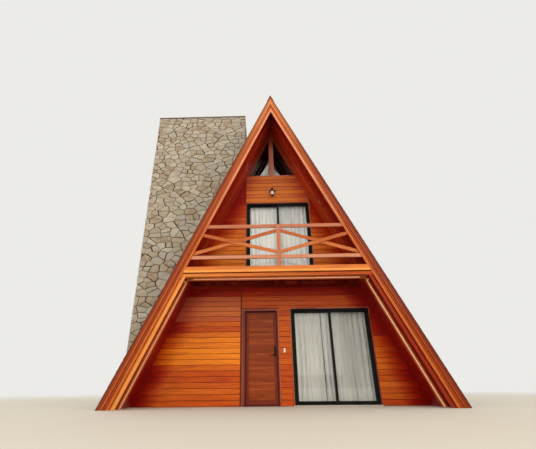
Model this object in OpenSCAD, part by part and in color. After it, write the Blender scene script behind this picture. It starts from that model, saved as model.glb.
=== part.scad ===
// A-frame cabin with a recessed front, a balcony between the rakes and a
// stone tower that rises through the left roof slope.
// X runs to the right, Y runs to the rear, Z runs up. The origin is on the
// ground, in the middle of the footprint. Sizes are in millimetres.
// A "depth" is a distance into the roof, at right angles to its outer face.

/* [Roof] */
// Width over the roof feet at ground level
roof_w = 7300; // [6600:10:8200]
// Height of the roof's outer apex
roof_h = 8150; // [7400:10:9000]
// Length of the roof from front rake to rear rake
roof_l = 7400; // [6800:10:9000]
// Thickness of the roof covering
covering_t = 18; // [10:1:30]
// Thickness of the roof boards under the covering
deck_t = 25; // [18:1:40]
// Depth of the rafters between boards and lining
rafter_h = 137; // [120:1:160]
// Width of a rafter
rafter_w = 60; // [45:1:90]
// Thickness of the inner lining
lining_t = 20; // [12:1:30]
// Largest spacing of the rafters
rafter_pitch = 1100; // [700:10:1600]
// How far the covering runs past the front of the rake boards
drip = 8; // [4:1:20]
// Width of each leg of the ridge cap
ridge_leg = 220; // [120:5:300]
// Thickness of the ridge cap
ridge_t = 12; // [4:1:20]

/* [Rakes] */
// Thickness of the backing board behind the rake boards
backing_t = 40; // [30:1:60]
// Depth of the whole rake, measured into the roof
rake_depth = 235; // [200:1:280]
// Width of the outer rake board
outer_board_w = 96; // [80:1:110]
// Thickness of the outer rake board
outer_board_t = 26; // [18:1:34]
// Width of the batten between the two rake boards
batten_w = 32; // [20:1:40]
// Thickness of the batten
batten_t = 14; // [8:1:20]
// Width of the inner rake board
inner_board_w = 56; // [40:1:64]
// Thickness of the inner rake board
inner_board_t = 22; // [16:1:30]
// Shadow gap between the outer board and the batten
rake_gap = 15; // [8:1:20]

/* [Portal frame] */
// Set-back of the portal frame from the front of the rakes
portal_y = 430; // [300:5:560]
// Thickness of the portal timbers, front to back
portal_t = 100; // [60:1:140]
// Depth at which the portal rafters end
portal_depth = 240; // [236:1:260]
// Depth of the portal's casing under the balcony
casing_depth = 300; // [290:1:320]
// Depth of the lining behind that casing
porch_depth = 285; // [270:1:289]
// Height of the portal tie's underside
tie_z = 2730; // [2600:5:2745]
// Radius of the rounded bead on the lower arris
bead_r = 14; // [8:1:18]
// Radius of the bead's turned end
bead_turn_r = 55; // [40:1:80]

/* [Balcony and floors] */
// Top of the ground floor
ground_z = 25; // [10:1:60]
// Top of the upper floor
upper_z = 2895; // [2850:5:3000]
// Thickness of the floor boards
board_t = 35; // [25:1:45]
// Height of the balcony's front beam
beam_h = 136; // [110:1:150]
// Thickness of the front beam
beam_t = 60; // [45:1:70]
// Upstand of the front beam above the floor boards
beam_up = 26; // [0:1:40]
// Width of the battens under the front beam and beside the rakes below it
batten_face = 70; // [50:1:80]
// Shadow gap between those battens and the beam or rake beside them
batten_gap = 24; // [15:1:30]
// Thickness of the battens beside the rakes
side_batten_t = 50; // [40:1:60]
// How far the strip in the shadow gap lies back
strip_back = 20; // [10:1:30]
// Width of a balcony joist
joist_w = 50; // [40:1:70]
// Number of balcony joists
joist_n = 5; // [3:1:6]
// Distance of the outer joists from the portal rafters
joist_inset = 260; // [100:10:400]
// Height of the ledger on the front wall
ledger_h = 80; // [60:1:90]
// Thickness of the ledger
ledger_t = 45; // [30:1:50]

/* [Balcony railing] */
// Height of the bottom rail's middle above ground
low_rail_z = 3155; // [3120:1:3200]
// Height of the top rail's middle above ground
top_rail_z = 3945; // [3850:1:4000]
// Width of the rails and braces on their face
rail_w = 84; // [60:1:100]
// Thickness of the rails
rail_t = 40; // [30:1:45]
// Thickness of the centre post
post_t = 20; // [14:1:24]
// Width of the braces
brace_w = 82; // [60:1:90]
// Thickness of the braces
brace_t = 19; // [14:0.5:19]
// Middle of the centre post from the cabin's centre line
post_x = 80; // [0:1:100]
// Width of the centre post
post_w = 100; // [70:1:120]
// Distance of a brace's middle from the rail beside its end
brace_foot = 62; // [50:1:90]
// Distance of the falling brace's middle under the top rail at the rake
brace_drop = 180; // [100:5:260]

/* [Front and rear walls] */
// Set-back of the front wall from the front of the rakes
wall_y = 1100; // [1000:10:1200]
// Thickness of the timber walls
wall_t = 110; // [90:1:140]
// Overhang of the roof past the rear wall
rear_over = 500; // [400:10:700]
// Drop from the roof's apex to the gable window's base
gable_drop = 2080; // [1900:10:2300]
// Width of the gable window's sloping and bottom members
gable_bar = 34; // [25:1:45]
// Half the width of the gable window's centre post
gable_post = 70; // [50:1:95]
// Thickness of every pane of glass
glass_t = 6; // [4:1:10]

/* [Front door] */
// Left edge of the door leaf from the centre line
door_x = -765; // [-800:1:-740]
// Width of the door leaf
door_w = 775; // [740:1:800]
// Height of the door leaf
door_h = 2080; // [2000:1:2100]
// Thickness of the door leaf
door_t = 40; // [35:1:45]
// Width of the jamb beside the leaf's hinge edge
jamb_w = 72; // [40:1:76]
// Width of the jamb on the lock side
lock_jamb_w = 36; // [25:1:45]
// Running gap round the leaf
door_gap = 5; // [4:1:7]
// Running gap at the lock edge
lock_gap = 8; // [6:1:10]
// How far the stops cover the leaf's edge
stop_lap = 10; // [6:1:14]
// Thickness of the stops
stop_t = 15; // [10:1:20]
// Width of the leaf's stiles and rails
door_stile = 95; // [80:1:120]
// How far the leaf's panel is sunk on each face
panel_sunk = 7; // [3:1:12]
// Radius of a hinge pin
pin_r = 6; // [4:0.5:7]
// Radius of a hinge knuckle
knuckle_r = 8.5; // [8:0.5:8.5]
// Radial clearance of a knuckle on its pin
pin_clear = 0.3; // [0.2:0.1:0.5]
// Length of one hinge knuckle
knuckle_l = 50; // [35:1:70]
// Distance of the upper and lower hinges from the leaf's ends
hinge_inset = 200; // [150:10:300]
// Length of the lever handles
lever_l = 110; // [90:1:130]
// Height of the handle
handle_z = 1075; // [1000:5:1200]

/* [Sliding doors] */
// Left side of the patio door's frame from the centre line
patio_x = 357; // [340:1:400]
// Wall left at its top between the patio door's frame and the slope
patio_clear = 202; // [160:1:300]
// Top of the patio door's frame above ground
patio_top = 2147; // [2120:1:2180]
// Distance of the upper door's frame from the line of the tower's side
tower_clear = 90; // [75:1:130]
// Wall left at its top between the upper door's frame and the right slope
upper_right_clear = 102; // [60:1:200]
// Top of the upper door's frame above ground
upper_top = 5150; // [5100:1:5160]
// Face width of the metal frames
frame_w = 42; // [35:1:50]
// Face width of the sliding leaves' stiles and rails
stile_w = 50; // [40:1:60]
// Thickness of a sliding leaf
leaf_t = 32; // [26:1:38]
// Overlap of the two leaves where they meet
leaf_lap = 44; // [30:1:50]
// Running gap round a sliding leaf
slide_gap = 5; // [5:0.5:7]
// How far a sliding door's frame stands out of the wall
frame_proud = 8; // [2:1:15]
// Radius of the rollers that carry a leaf
roller_r = 12; // [10:1:15]

/* [Rear windows] */
// Width of the rear windows
rear_win_w = 1200; // [900:10:1300]
// Height of the rear windows
rear_win_h = 1000; // [800:10:1200]
// Sill height of a rear window above its floor
rear_sill_h = 1050; // [900:10:1200]

/* [Trim] */
// Width of the thin wooden trim round the openings
trim_w = 26; // [18:1:34]
// How far the thin trim stands out of the wall
trim_t = 15; // [10:1:22]
// Height of the stone sill under the patio door
sill_h = 20; // [12:1:22]
// How far the stone sill stands out of the wall
sill_out = 60; // [30:1:90]

/* [Tower] */
// Distance of the tower's left side from the roof foot
tower_inset = 30; // [0:5:200]
// Depth of the stone tower, front to back
tower_d = 1800; // [1400:10:2400]
// Height of the tower under its cap
tower_h = 8480; // [8300:10:9000]
// Thickness of the tower walls
tower_t = 200; // [150:5:250]
// Right side of the tower from the centre line
tower_x = -825; // [-860:1:-815]
// Thickness of the tower's cap
tower_cap_t = 50; // [30:1:80]
// Overhang of the tower's cap
tower_cap_over = 25; // [10:1:28]

/* [Fittings] */
// Radius of the wall lamp's cap
lamp_r = 92; // [60:1:100]
// How far the wall lamp's middle stands out of the wall
lamp_out = 120; // [100:1:150]
// Thickness of a hanging curtain
curtain_t = 24; // [12:1:30]

/* [Hidden] */
$fn = 48;

// Named colours of the finishes
timber = "#B9531F";
timber_light = "#D98238";
timber_dark = "#7C2A17";
door_brown = "#7A3526";
shingle = "#5A5048";
black_metal = "#1D1D1E";
stone = "#A99F8C";
pane = "#9FB4BC";
cloth = "#E4DFD3";

// A cut runs this far past the face that it leaves
past = 10;
// A cut that must clear the whole cabin runs this far
far = 12000;
// Hairline joint where the two slopes' timbers meet under the ridge
mitre = 1;
// Hairline joint between a slope and a piece cut to fit against it
fit_gap = 0.5;

// The roof's half angle from the vertical, and its slope as run over rise
half_angle = atan(roof_w / 2 / roof_h);
slope = roof_w / 2 / roof_h;
deck_in = covering_t;
rafter_in = deck_in + deck_t;
lining_in = rafter_in + rafter_h;
inner_depth = lining_in + lining_t;

// Depths at which walls and floors, and the boards between the rakes, end
room_depth = inner_depth + fit_gap;
between_rakes = rake_depth + fit_gap;

// Half the width inside a given depth at a height, and that depth's apex
function half_at(z, depth) = roof_w / 2 - depth / cos(half_angle) - slope * z;
function apex_at(depth) = roof_h - depth / sin(half_angle);

// Places from front to rear
front_y = -roof_l / 2;
rear_y = roof_l / 2;
rake_y = front_y + drip + outer_board_t;
backing_y = rake_y + backing_t;
portal_front = front_y + portal_y;
portal_back = portal_front + portal_t;
wall_front = front_y + wall_y;
wall_back = wall_front + wall_t;
rear_wall_back = rear_y - rear_over;
rear_wall_front = rear_wall_back - wall_t;
room_l = rear_wall_front - wall_back;

// Heights of the floors and the balcony's timbers
floor_under = upper_z - board_t;
beam_top = upper_z + beam_up;
beam_under = beam_top - beam_h;
batten_top = beam_under - batten_gap;
batten_under = batten_top - batten_face;
beam_y = front_y + drip;
joist_under = batten_top;
ledger_y = wall_front - ledger_t;

// Places of the tower
tower_left = tower_inset - roof_w / 2;
tower_front = wall_back;
tower_back = tower_front + tower_d;

// Places of the front door and its hinges
knuckle_inset = 2;
door_bottom = ground_z + door_gap;
door_top = door_bottom + door_h;
door_left_jamb = door_x - door_gap - jamb_w;
door_right_jamb = door_x + door_w + lock_gap + lock_jamb_w;
door_front = wall_front + trim_t + stop_t + door_gap;
door_back = door_front + door_t;
hinge_y = door_back + knuckle_r + pin_clear;
hinge_x = door_x - knuckle_inset;
hinge_heights = [door_bottom + hinge_inset, (door_bottom + door_top) / 2, door_top - hinge_inset];
flap_t = 3;
flap_w = 34;
knuckle_gap = 0.3;
head_z = patio_top;

// Sides of the sliding doors, and the base of the gable window
patio_end = half_at(patio_top, room_depth) - patio_clear;
patio_w = patio_end - patio_x;
upper_x = tower_x + tower_clear;
upper_end = half_at(upper_top, room_depth) - upper_right_clear;
upper_w = upper_end - upper_x;
gable_z = roof_h - gable_drop;

// Lever handle: inset from the lock edge, backplate, lever and its stand-off
handle_inset = 62;
plate_w = 46;
plate_h = 230;
plate_low = 30;
lever_r = 8;
lever_out = 44;

// Tracks of the sliding doors, measured from the front face of their frames
track_front = 12;
track_space = 8;
track_rear = track_front + leaf_t + track_space;
frame_deep = track_rear + leaf_t + track_front;
slide_y = wall_front - frame_proud;
rear_frame_y = rear_wall_back + frame_proud - frame_deep;
roller_w = 25;
roller_clear = 0.3;

// Limits of the left and right leaf of a sliding door with a running gap
function left_leaf(x, w, gap) = [x + frame_w + gap, x + w / 2 + leaf_lap / 2];
function right_leaf(x, w, gap) = [x + w / 2 - leaf_lap / 2, x + w - frame_w - gap];

// Limits of each leaf in X and in Z
patio_z = [frame_w + slide_gap, patio_top - frame_w - slide_gap];
patio_left = left_leaf(patio_x, patio_w, slide_gap);
patio_right = right_leaf(patio_x, patio_w, slide_gap);
upper_leaf_z = [upper_z + frame_w, upper_top - frame_w];
upper_left = left_leaf(upper_x, upper_w, 0);
upper_right = right_leaf(upper_x, upper_w, 0);

// Curtain tracks, and the play round the cloth
track_h = 28;
track_d = 70;
cloth_gap = 30;
cloth_hang = 0.3;

// A brace runs this far past its two points before it is cut
brace_over = 300;

// Parts of the wall lamp: its plate is midway between the upper door and the gable window,
// and the lantern's middle hangs this far below the arm
lamp_plate_z = (upper_top + gable_z) / 2;
lamp_drop = 190;
lamp_z = lamp_plate_z - lamp_drop;
lamp_glass_h = 105;
lamp_glass_r = 52;
lamp_cap_h = 70;
lamp_base_h = 45;
lamp_base_r = 40;
lamp_tip_r = 22;
lamp_arm_r = 12;
lamp_plate_t = 14;

// Bell push
bell_x = 170;
bell_z = 1175;
bell_w = 42;
bell_h = 90;
bell_t = 12;
bell_button_r = 14;

// Half of an A-shaped band between two depths, cut from y0 to y1.
// side is 1 for the right slope and -1 for the left slope.
module slope_band(depth0, depth1, y0, y1, side) {
    x = mitre / 2;
    drop = x / slope;
    upright_plate([
        [side * half_at(0, depth0), 0],
        [side * x, apex_at(depth0) - drop],
        [side * x, apex_at(depth1) - drop],
        [side * half_at(0, depth1), 0]
    ], y0, y1);
}

// The same band on both slopes
module band_pair(depth0, depth1, y0, y1) {
    for (side = [-1, 1])
        slope_band(depth0, depth1, y0, y1, side);
}

// A level board across the cabin, its ends cut to both slopes at a depth
module level_board(low, high, depth, y0, y1) {
    upright_plate([
        [-half_at(low, depth), low],
        [half_at(low, depth), low],
        [half_at(high, depth), high],
        [-half_at(high, depth), high]
    ], y0, y1);
}

// A flat plate in the XZ plane with an outline, from y0 to y1
module upright_plate(points, y0, y1) {
    translate([0, y1, 0])
        rotate([90, 0, 0])
            linear_extrude(y1 - y0)
                polygon(points);
}

// A block between two corners
module block(low, high) {
    translate(low)
        cube(high - low);
}

// The space that the stone tower takes from the roof and the floors
module tower_space() {
    block([-far, tower_front, -past], [tower_x, tower_back, far]);
}

// Ground floor between the walls and the roof linings
module ground_floor() {
    color(stone)
        difference() {
            level_board(0, ground_z, room_depth, wall_back, rear_wall_front);
            tower_space();
        }
}

// Upper floor, carried by the ground storey's walls
module upper_floor() {
    color(timber)
        difference() {
            level_board(joist_under, upper_z, room_depth, wall_front, rear_wall_back);
            tower_space();
        }
}

// Balcony floor boards between the front beam and the wall
module balcony_boards() {
    color(timber)
        difference() {
            level_board(floor_under, upper_z, room_depth, beam_y + beam_t, wall_front);
            band_pair(0, between_rakes, front_y, backing_y);
            band_pair(0, portal_depth + fit_gap, portal_front, portal_back);
        }
}

// Balcony joists in two lengths, butted against the portal tie
module balcony_joists() {
    reach = half_at(joist_under, casing_depth) - joist_inset;
    step = 2 * reach / (joist_n - 1);
    color(timber_dark)
        for (i = [0 : joist_n - 1]) {
            x = -reach + i * step - joist_w / 2;
            block([x, beam_y + beam_t, joist_under], [x + joist_w, portal_front, floor_under]);
            block([x, portal_back, joist_under], [x + joist_w, wall_front, floor_under]);
        }
}

// Front beam of the balcony
module balcony_beam() {
    color(timber_light)
        level_board(beam_under, beam_top, between_rakes, beam_y, beam_y + beam_t);
}

// Timbers that carry the joists: a batten in front and a ledger on the wall
module balcony_bearers() {
    color(timber_light) {
        level_board(batten_under, batten_top, between_rakes, rake_y, beam_y + beam_t + joist_w);
        level_board(joist_under - ledger_h, joist_under, porch_depth + fit_gap, ledger_y, wall_front);
    }
}

// Portal rafters in front, and their fellows on the rear wall
module portal_rafters() {
    color(timber_dark) {
        band_pair(rafter_in, portal_depth, portal_front, portal_back);
        band_pair(rafter_in, portal_depth, rear_wall_back, rear_wall_back + portal_t);
    }
}

// Tie of the front portal, under the balcony boards
module portal_tie() {
    color(timber_dark)
        level_board(tie_z, floor_under, portal_depth + fit_gap, portal_front, portal_back);
}

// Casing under the balcony: boards below the portal rafters, and the lining behind
module porch_casing() {
    color(timber_dark)
        intersection() {
            union() {
                band_pair(portal_depth + fit_gap, casing_depth, portal_front, portal_back);
                band_pair(room_depth, porch_depth, portal_back, wall_front);
            }
            block([-roof_w, front_y, 0], [roof_w, wall_front, tie_z]);
        }
}

// Battens beside the rakes under the balcony, each with a strip in its shadow gap
module porch_battens() {
    outer = rake_depth + batten_gap;
    back = rake_y + side_batten_t;
    color(timber_light)
        intersection() {
            union() {
                band_pair(between_rakes, outer, rake_y + strip_back, back);
                band_pair(outer, outer + batten_face, rake_y, back);
            }
            block([-roof_w, front_y, 0], [roof_w, wall_front, batten_under]);
        }
}

// Rounded bead of a given length along +Z, ending in a turned end
module turned_bead(length) {
    cylinder(r = bead_r, h = length);
    translate([bead_turn_r, 0, length])
        rotate([90, 0, 0])
            rotate([0, 0, 90])
                rotate_extrude(angle = 90)
                    translate([bead_turn_r, 0])
                        circle(r = bead_r);
}

// Half-round beads on the casing's lower arris, turned outwards at the corners
module portal_bead() {
    bead_depth = casing_depth - bead_r;
    run = (tie_z - 2 * bead_turn_r) / cos(half_angle);
    tie_half = half_at(tie_z, casing_depth) - 2 * bead_turn_r;
    color(timber_light)
        intersection() {
            union() {
                for (side = [0, 1])
                    mirror([side, 0, 0])
                        translate([half_at(0, bead_depth), portal_front, 0])
                            rotate([0, -half_angle, 0])
                                turned_bead(run);
                translate([-tie_half, portal_front, tie_z + bead_r])
                    rotate([0, 90, 0])
                        cylinder(r = bead_r, h = 2 * tie_half);
            }
            block([-roof_w, front_y, 0], [roof_w, portal_front, roof_h]);
        }
}

// Outer roof covering on both slopes
module roof_covering() {
    color(shingle)
        difference() {
            band_pair(0, deck_in, front_y, rear_y);
            tower_space();
        }
}

// Cap over the ridge
module ridge_cap() {
    leg_drop = ridge_leg * cos(half_angle);
    top = apex_at(-ridge_t);
    low = roof_h - leg_drop;
    low_x = leg_drop * slope;
    out_x = low_x + ridge_t * cos(half_angle);
    out_z = low + ridge_t * sin(half_angle);
    color(shingle)
        upright_plate([
            [-low_x, low], [0, roof_h], [low_x, low],
            [out_x, out_z], [0, top], [-out_x, out_z]
        ], front_y, rear_y);
}

// Roof boards on both slopes
module roof_boards() {
    color(timber_dark)
        difference() {
            band_pair(deck_in, rafter_in, rake_y, -rake_y);
            tower_space();
        }
}

// Rafters between the roof boards and the lining
module rafters() {
    bay_n = ceil(room_l / rafter_pitch);
    color(timber)
        difference() {
            for (i = [1 : bay_n - 1]) {
                y = wall_back + i * room_l / bay_n - rafter_w / 2;
                band_pair(rafter_in, lining_in, y, y + rafter_w);
            }
            tower_space();
        }
}

// Inner lining of both slopes
module lining() {
    color(timber)
        difference() {
            band_pair(lining_in, inner_depth, portal_back, rear_wall_back);
            tower_space();
        }
}

// Boards of one rake profile, at the front and at the rear
module rake_set(depth0, depth1, y0, y1) {
    band_pair(depth0, depth1, y0, y1);
    band_pair(depth0, depth1, -y1, -y0);
}

// Backing boards of the rakes
module rake_backing() {
    color(timber_dark)
        rake_set(rafter_in, rake_depth, rake_y, backing_y);
}

// Broad outer boards of the rakes
module outer_rakes() {
    color(timber)
        rake_set(deck_in, deck_in + outer_board_w, rake_y - outer_board_t, rake_y);
}

// Inner boards of the rakes, and the thin battens beside them
module inner_rakes() {
    batten_in = deck_in + outer_board_w + rake_gap;
    color(timber_light) {
        rake_set(batten_in, batten_in + batten_w, rake_y - batten_t, rake_y);
        rake_set(rake_depth - inner_board_w, rake_depth, rake_y - inner_board_t, rake_y);
    }
}

// Part of the ground storey's front wall between two sides and two heights
module lower_wall_part(x0, x1, low, high = joist_under) {
    intersection() {
        level_board(low, high, room_depth, wall_front, wall_back);
        block([x0, wall_front - past, low - past], [x1, wall_back + past, high + past]);
    }
}

// Ground storey of the front wall: left of the door, the pier and the right end
module front_wall_lower() {
    color(timber) {
        lower_wall_part(-far, door_left_jamb, 0);
        lower_wall_part(door_right_jamb, patio_x, 0, head_z);
        lower_wall_part(patio_end, far, 0);
    }
}

// Front wall over both ground-floor doors
module front_wall_head() {
    color(timber)
        lower_wall_part(door_left_jamb, patio_end, head_z);
}

// Upper storey of the front wall, up to the gable window
module front_wall_upper() {
    color(timber)
        difference() {
            level_board(upper_z, gable_z, room_depth, wall_front, wall_back);
            block([upper_x, wall_front - past, upper_z - past],
                [upper_end, wall_back + past, upper_top]);
        }
}

// Opening of a rear window whose sill is at a height
module rear_opening(sill) {
    block([-rear_win_w / 2, rear_wall_front - past, sill],
        [rear_win_w / 2, rear_wall_back + past, sill + rear_win_h]);
}

// Both storeys of the rear wall, with a window in each
module rear_wall() {
    color(timber)
        difference() {
            union() {
                level_board(0, joist_under, room_depth, rear_wall_front, rear_wall_back);
                level_board(upper_z, gable_z, room_depth, rear_wall_front, rear_wall_back);
            }
            for (floor = [ground_z, upper_z])
                rear_opening(floor + rear_sill_h);
        }
}

// Outline of one gable pane: inner foot, outer foot and tip
function gable_pane(side) =
    let (
        foot_z = gable_z + gable_bar,
        bar_depth = room_depth + gable_bar
    )
    [
        [side * gable_post, foot_z],
        [side * half_at(foot_z, bar_depth), foot_z],
        [side * gable_post, (half_at(0, bar_depth) - gable_post) / slope]
    ];

// Triangular gable window frames, front and rear
module gable_frames() {
    color(timber_dark)
        for (y = [wall_front, rear_wall_front])
            difference() {
                upright_plate([
                    [-half_at(gable_z, room_depth), gable_z],
                    [half_at(gable_z, room_depth), gable_z],
                    [0, apex_at(room_depth)]
                ], y, y + wall_t);
                for (side = [-1, 1])
                    upright_plate(gable_pane(side), y - past, y + wall_t + past);
            }
}

// Every fixed pane: gables, upper sliding door and rear windows
module window_glass() {
    color(pane) {
        for (y = [wall_front, rear_wall_front])
            for (side = [-1, 1])
                upright_plate(gable_pane(side), y + (wall_t - glass_t) / 2, y + (wall_t + glass_t) / 2);
        leaf_pane(upper_left, upper_leaf_z, slide_y + track_rear);
        leaf_pane(upper_right, upper_leaf_z, slide_y + track_front);
        for (floor = [ground_z, upper_z])
            block([-rear_win_w / 2 + frame_w, rear_frame_y + track_rear, floor + rear_sill_h + frame_w],
                [rear_win_w / 2 - frame_w, rear_frame_y + track_rear + glass_t,
                    floor + rear_sill_h + rear_win_h - frame_w]);
    }
}

// Frame of the front door with its stops and threshold
module door_frame() {
    lock_x = door_x + door_w + lock_gap;
    hinge_jamb_x = door_x - door_gap;
    top = door_top + door_gap;
    stop_y = door_front - door_gap - stop_t;
    color(timber_dark)
        difference() {
            block([door_left_jamb, wall_front, 0], [door_right_jamb, door_back, head_z]);
            block([hinge_jamb_x + stop_lap + door_gap, wall_front - past, ground_z],
                [lock_x - stop_lap - lock_gap, door_back + past, top - stop_lap - door_gap]);
            block([hinge_jamb_x, stop_y + stop_t, ground_z], [lock_x, door_back + past, top]);
        }
}

// Leaf of the front door: stiles and rails round a sunk panel
module front_door() {
    color(door_brown)
        difference() {
            block([door_x, door_front, door_bottom], [door_x + door_w, door_back, door_top]);
            for (y = [door_front - past, door_back - panel_sunk])
                block([door_x + door_stile, y, door_bottom + door_stile],
                    [door_x + door_w - door_stile, y + panel_sunk + past, door_top - door_stile]);
        }
}

// Fixed halves of the hinges: pin, two knuckles and their flaps
module door_hinges() {
    color(black_metal)
        for (z = hinge_heights) {
            translate([hinge_x, hinge_y, z - 1.5 * knuckle_l])
                cylinder(r = pin_r, h = 3 * knuckle_l);
            for (low = [z - 1.5 * knuckle_l, z + 0.5 * knuckle_l]) {
                translate([hinge_x, hinge_y, low])
                    cylinder(r = knuckle_r, h = knuckle_l);
                block([hinge_x - flap_w, door_back, low], [hinge_x, door_back + flap_t, low + knuckle_l]);
            }
        }
}

// Lever handles on both faces, and the hinges' moving halves
module door_handles() {
    handle_x = door_x + door_w - handle_inset;
    color(black_metal) {
        for (z = hinge_heights)
            difference() {
                union() {
                    translate([hinge_x, hinge_y, z - knuckle_l / 2 + knuckle_gap])
                        cylinder(r = knuckle_r, h = knuckle_l - 2 * knuckle_gap);
                    block([hinge_x, door_back, z - knuckle_l / 2 + knuckle_gap],
                        [hinge_x + flap_w, door_back + flap_t, z + knuckle_l / 2 - knuckle_gap]);
                }
                translate([hinge_x, hinge_y, z - knuckle_l])
                    cylinder(r = pin_r + pin_clear, h = 2 * knuckle_l);
            }
        for (face = [[door_front, 0], [door_back, 1]])
            translate([handle_x, face[0], handle_z])
                mirror([0, 1 - face[1], 0])
                    lever_handle();
    }
}

// Lever handle on a backplate, standing out along +Y, its grip along -X
module lever_handle() {
    block([-plate_w / 2, 0, -plate_low], [plate_w / 2, flap_t, plate_h - plate_low]);
    rotate([-90, 0, 0])
        cylinder(r = lever_r, h = lever_out);
    translate([0, lever_out, 0])
        rotate([0, -90, 0])
            cylinder(r = lever_r, h = lever_l);
    translate([0, lever_out, 0])
        sphere(r = lever_r);
}

// Thin wooden trim round an opening, on three sides
module trim_round(x0, x1, z0, z1, y, out) {
    y0 = min(y, y + out);
    y1 = max(y, y + out);
    difference() {
        block([x0 - trim_w, y0, z0], [x1 + trim_w, y1, z1 + trim_w]);
        block([x0, y0 - past, z0 - past], [x1, y1 + past, z1]);
    }
}

// Trim round the front doors and the rear windows
module opening_trim() {
    color(timber_light) {
        trim_round(door_left_jamb + jamb_w - stop_lap, door_right_jamb - lock_jamb_w + stop_lap,
            ground_z, door_top, wall_front, -trim_t);
        trim_round(patio_x, patio_end, 0, patio_top, wall_front, -trim_t);
        trim_round(upper_x, upper_end, upper_z, upper_top, wall_front, -trim_t);
        for (floor = [ground_z, upper_z])
            trim_round(-rear_win_w / 2, rear_win_w / 2, floor + rear_sill_h,
                floor + rear_sill_h + rear_win_h, rear_wall_back, trim_t);
    }
}

// Metal frame of a sliding door or window
module slide_frame(x0, x1, z0, z1, y0, y1) {
    color(black_metal)
        difference() {
            block([x0, y0, z0], [x1, y1, z1]);
            block([x0 + frame_w, y0 - past, z0 + frame_w], [x1 - frame_w, y1 + past, z1 - frame_w]);
        }
}

// Open rectangle of stiles and rails; x and z each give two limits
module leaf_frame(x, z, y) {
    difference() {
        block([x[0], y, z[0]], [x[1], y + leaf_t, z[1]]);
        block([x[0] + stile_w, y - past, z[0] + stile_w],
            [x[1] - stile_w, y + leaf_t + past, z[1] - stile_w]);
    }
}

// Pane inside such a rectangle
module leaf_pane(x, z, y) {
    mid = y + (leaf_t - glass_t) / 2;
    color(pane)
        block([x[0] + stile_w, mid, z[0] + stile_w], [x[1] - stile_w, mid + glass_t, z[1] - stile_w]);
}

// Frame of the patio door
module patio_frame() {
    slide_frame(patio_x, patio_end, 0, patio_top, slide_y, slide_y + frame_deep);
}

// Leaf of the patio door on rollers that run just over the frame's sill
module patio_leaf(x, y) {
    color(black_metal) {
        leaf_frame(x, patio_z, y);
        for (roller_x = [x[0] + 2 * stile_w, x[1] - 2 * stile_w - roller_w])
            translate([roller_x, y + leaf_t / 2, frame_w + roller_r + roller_clear])
                rotate([0, 90, 0])
                    cylinder(r = roller_r, h = roller_w);
    }
}

// Left leaf of the patio door, on the rear track
module patio_leaf_left() {
    patio_leaf(patio_left, slide_y + track_rear);
}

// Right leaf of the patio door, on the front track
module patio_leaf_right() {
    patio_leaf(patio_right, slide_y + track_front);
}

// Pane of the left leaf
module patio_glass_left() {
    leaf_pane(patio_left, patio_z, slide_y + track_rear);
}

// Pane of the right leaf
module patio_glass_right() {
    leaf_pane(patio_right, patio_z, slide_y + track_front);
}

// Stone sill in front of the patio door's frame
module patio_sill() {
    color(stone)
        block([patio_x - trim_w, wall_front - sill_out, 0],
            [patio_end + trim_w, wall_front - trim_t, sill_h]);
}

// Upper sliding door: the frame and its two leaves, closed
module upper_door() {
    slide_frame(upper_x, upper_end, upper_z, upper_top, slide_y, slide_y + frame_deep);
    color(black_metal) {
        leaf_frame(upper_left, upper_leaf_z, slide_y + track_rear);
        leaf_frame(upper_right, upper_leaf_z, slide_y + track_front);
    }
}

// Rear windows: metal frames with a middle bar
module rear_windows() {
    for (floor = [ground_z, upper_z]) {
        sill = floor + rear_sill_h;
        slide_frame(-rear_win_w / 2, rear_win_w / 2, sill, sill + rear_win_h,
            rear_frame_y, rear_frame_y + frame_deep);
        color(black_metal)
            block([-stile_w / 2, rear_frame_y + track_front, sill + frame_w],
                [stile_w / 2, rear_frame_y + track_rear, sill + rear_win_h - frame_w]);
    }
}

// Curtain tracks on the inner face of the front wall
module curtain_tracks() {
    color("white")
        for (c = [[patio_x, patio_end, patio_top], [upper_x, upper_end, upper_top]])
            block([c[0], wall_back, c[2] + trim_w],
                [c[1], wall_back + track_d, c[2] + trim_w + track_h]);
}

// One curtain for each sliding leaf, hanging just under its track
module curtains() {
    y = wall_back + (track_d - curtain_t) / 2;
    color(cloth)
        for (c = [[patio_x, patio_end, ground_z, patio_top],
                [upper_x, upper_end, upper_z, upper_top]]) {
            mid = (c[0] + c[1]) / 2;
            for (x = [[c[0] + cloth_gap, mid - cloth_gap / 2], [mid + cloth_gap / 2, c[1] - cloth_gap]])
                block([x[0], y, c[2] + cloth_gap], [x[1], y + curtain_t, c[3] + trim_w - cloth_hang]);
        }
}

// Top and bottom rails, their ends cut to the rakes
module railing_rails() {
    color(timber)
        for (z = [low_rail_z, top_rail_z])
            level_board(z - rail_w / 2, z + rail_w / 2, between_rakes, rake_y, rake_y + rail_t);
}

// Centre post of the railing, standing on the front beam
module railing_post() {
    color(timber)
        block([post_x - post_w / 2, rake_y - post_t, beam_top],
            [post_x + post_w / 2, rake_y, top_rail_z + rail_w / 2]);
}

// A flat board through two points of the railing's plane, running past both
module brace(from, to, y0) {
    run = to - from;
    translate([from[0], y0 + brace_t, from[1]])
        rotate([90, -atan2(run[1], run[0]), 0])
            translate([-brace_over, -brace_w / 2, 0])
                cube([norm(run) + 2 * brace_over, brace_w, brace_t]);
}

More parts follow.
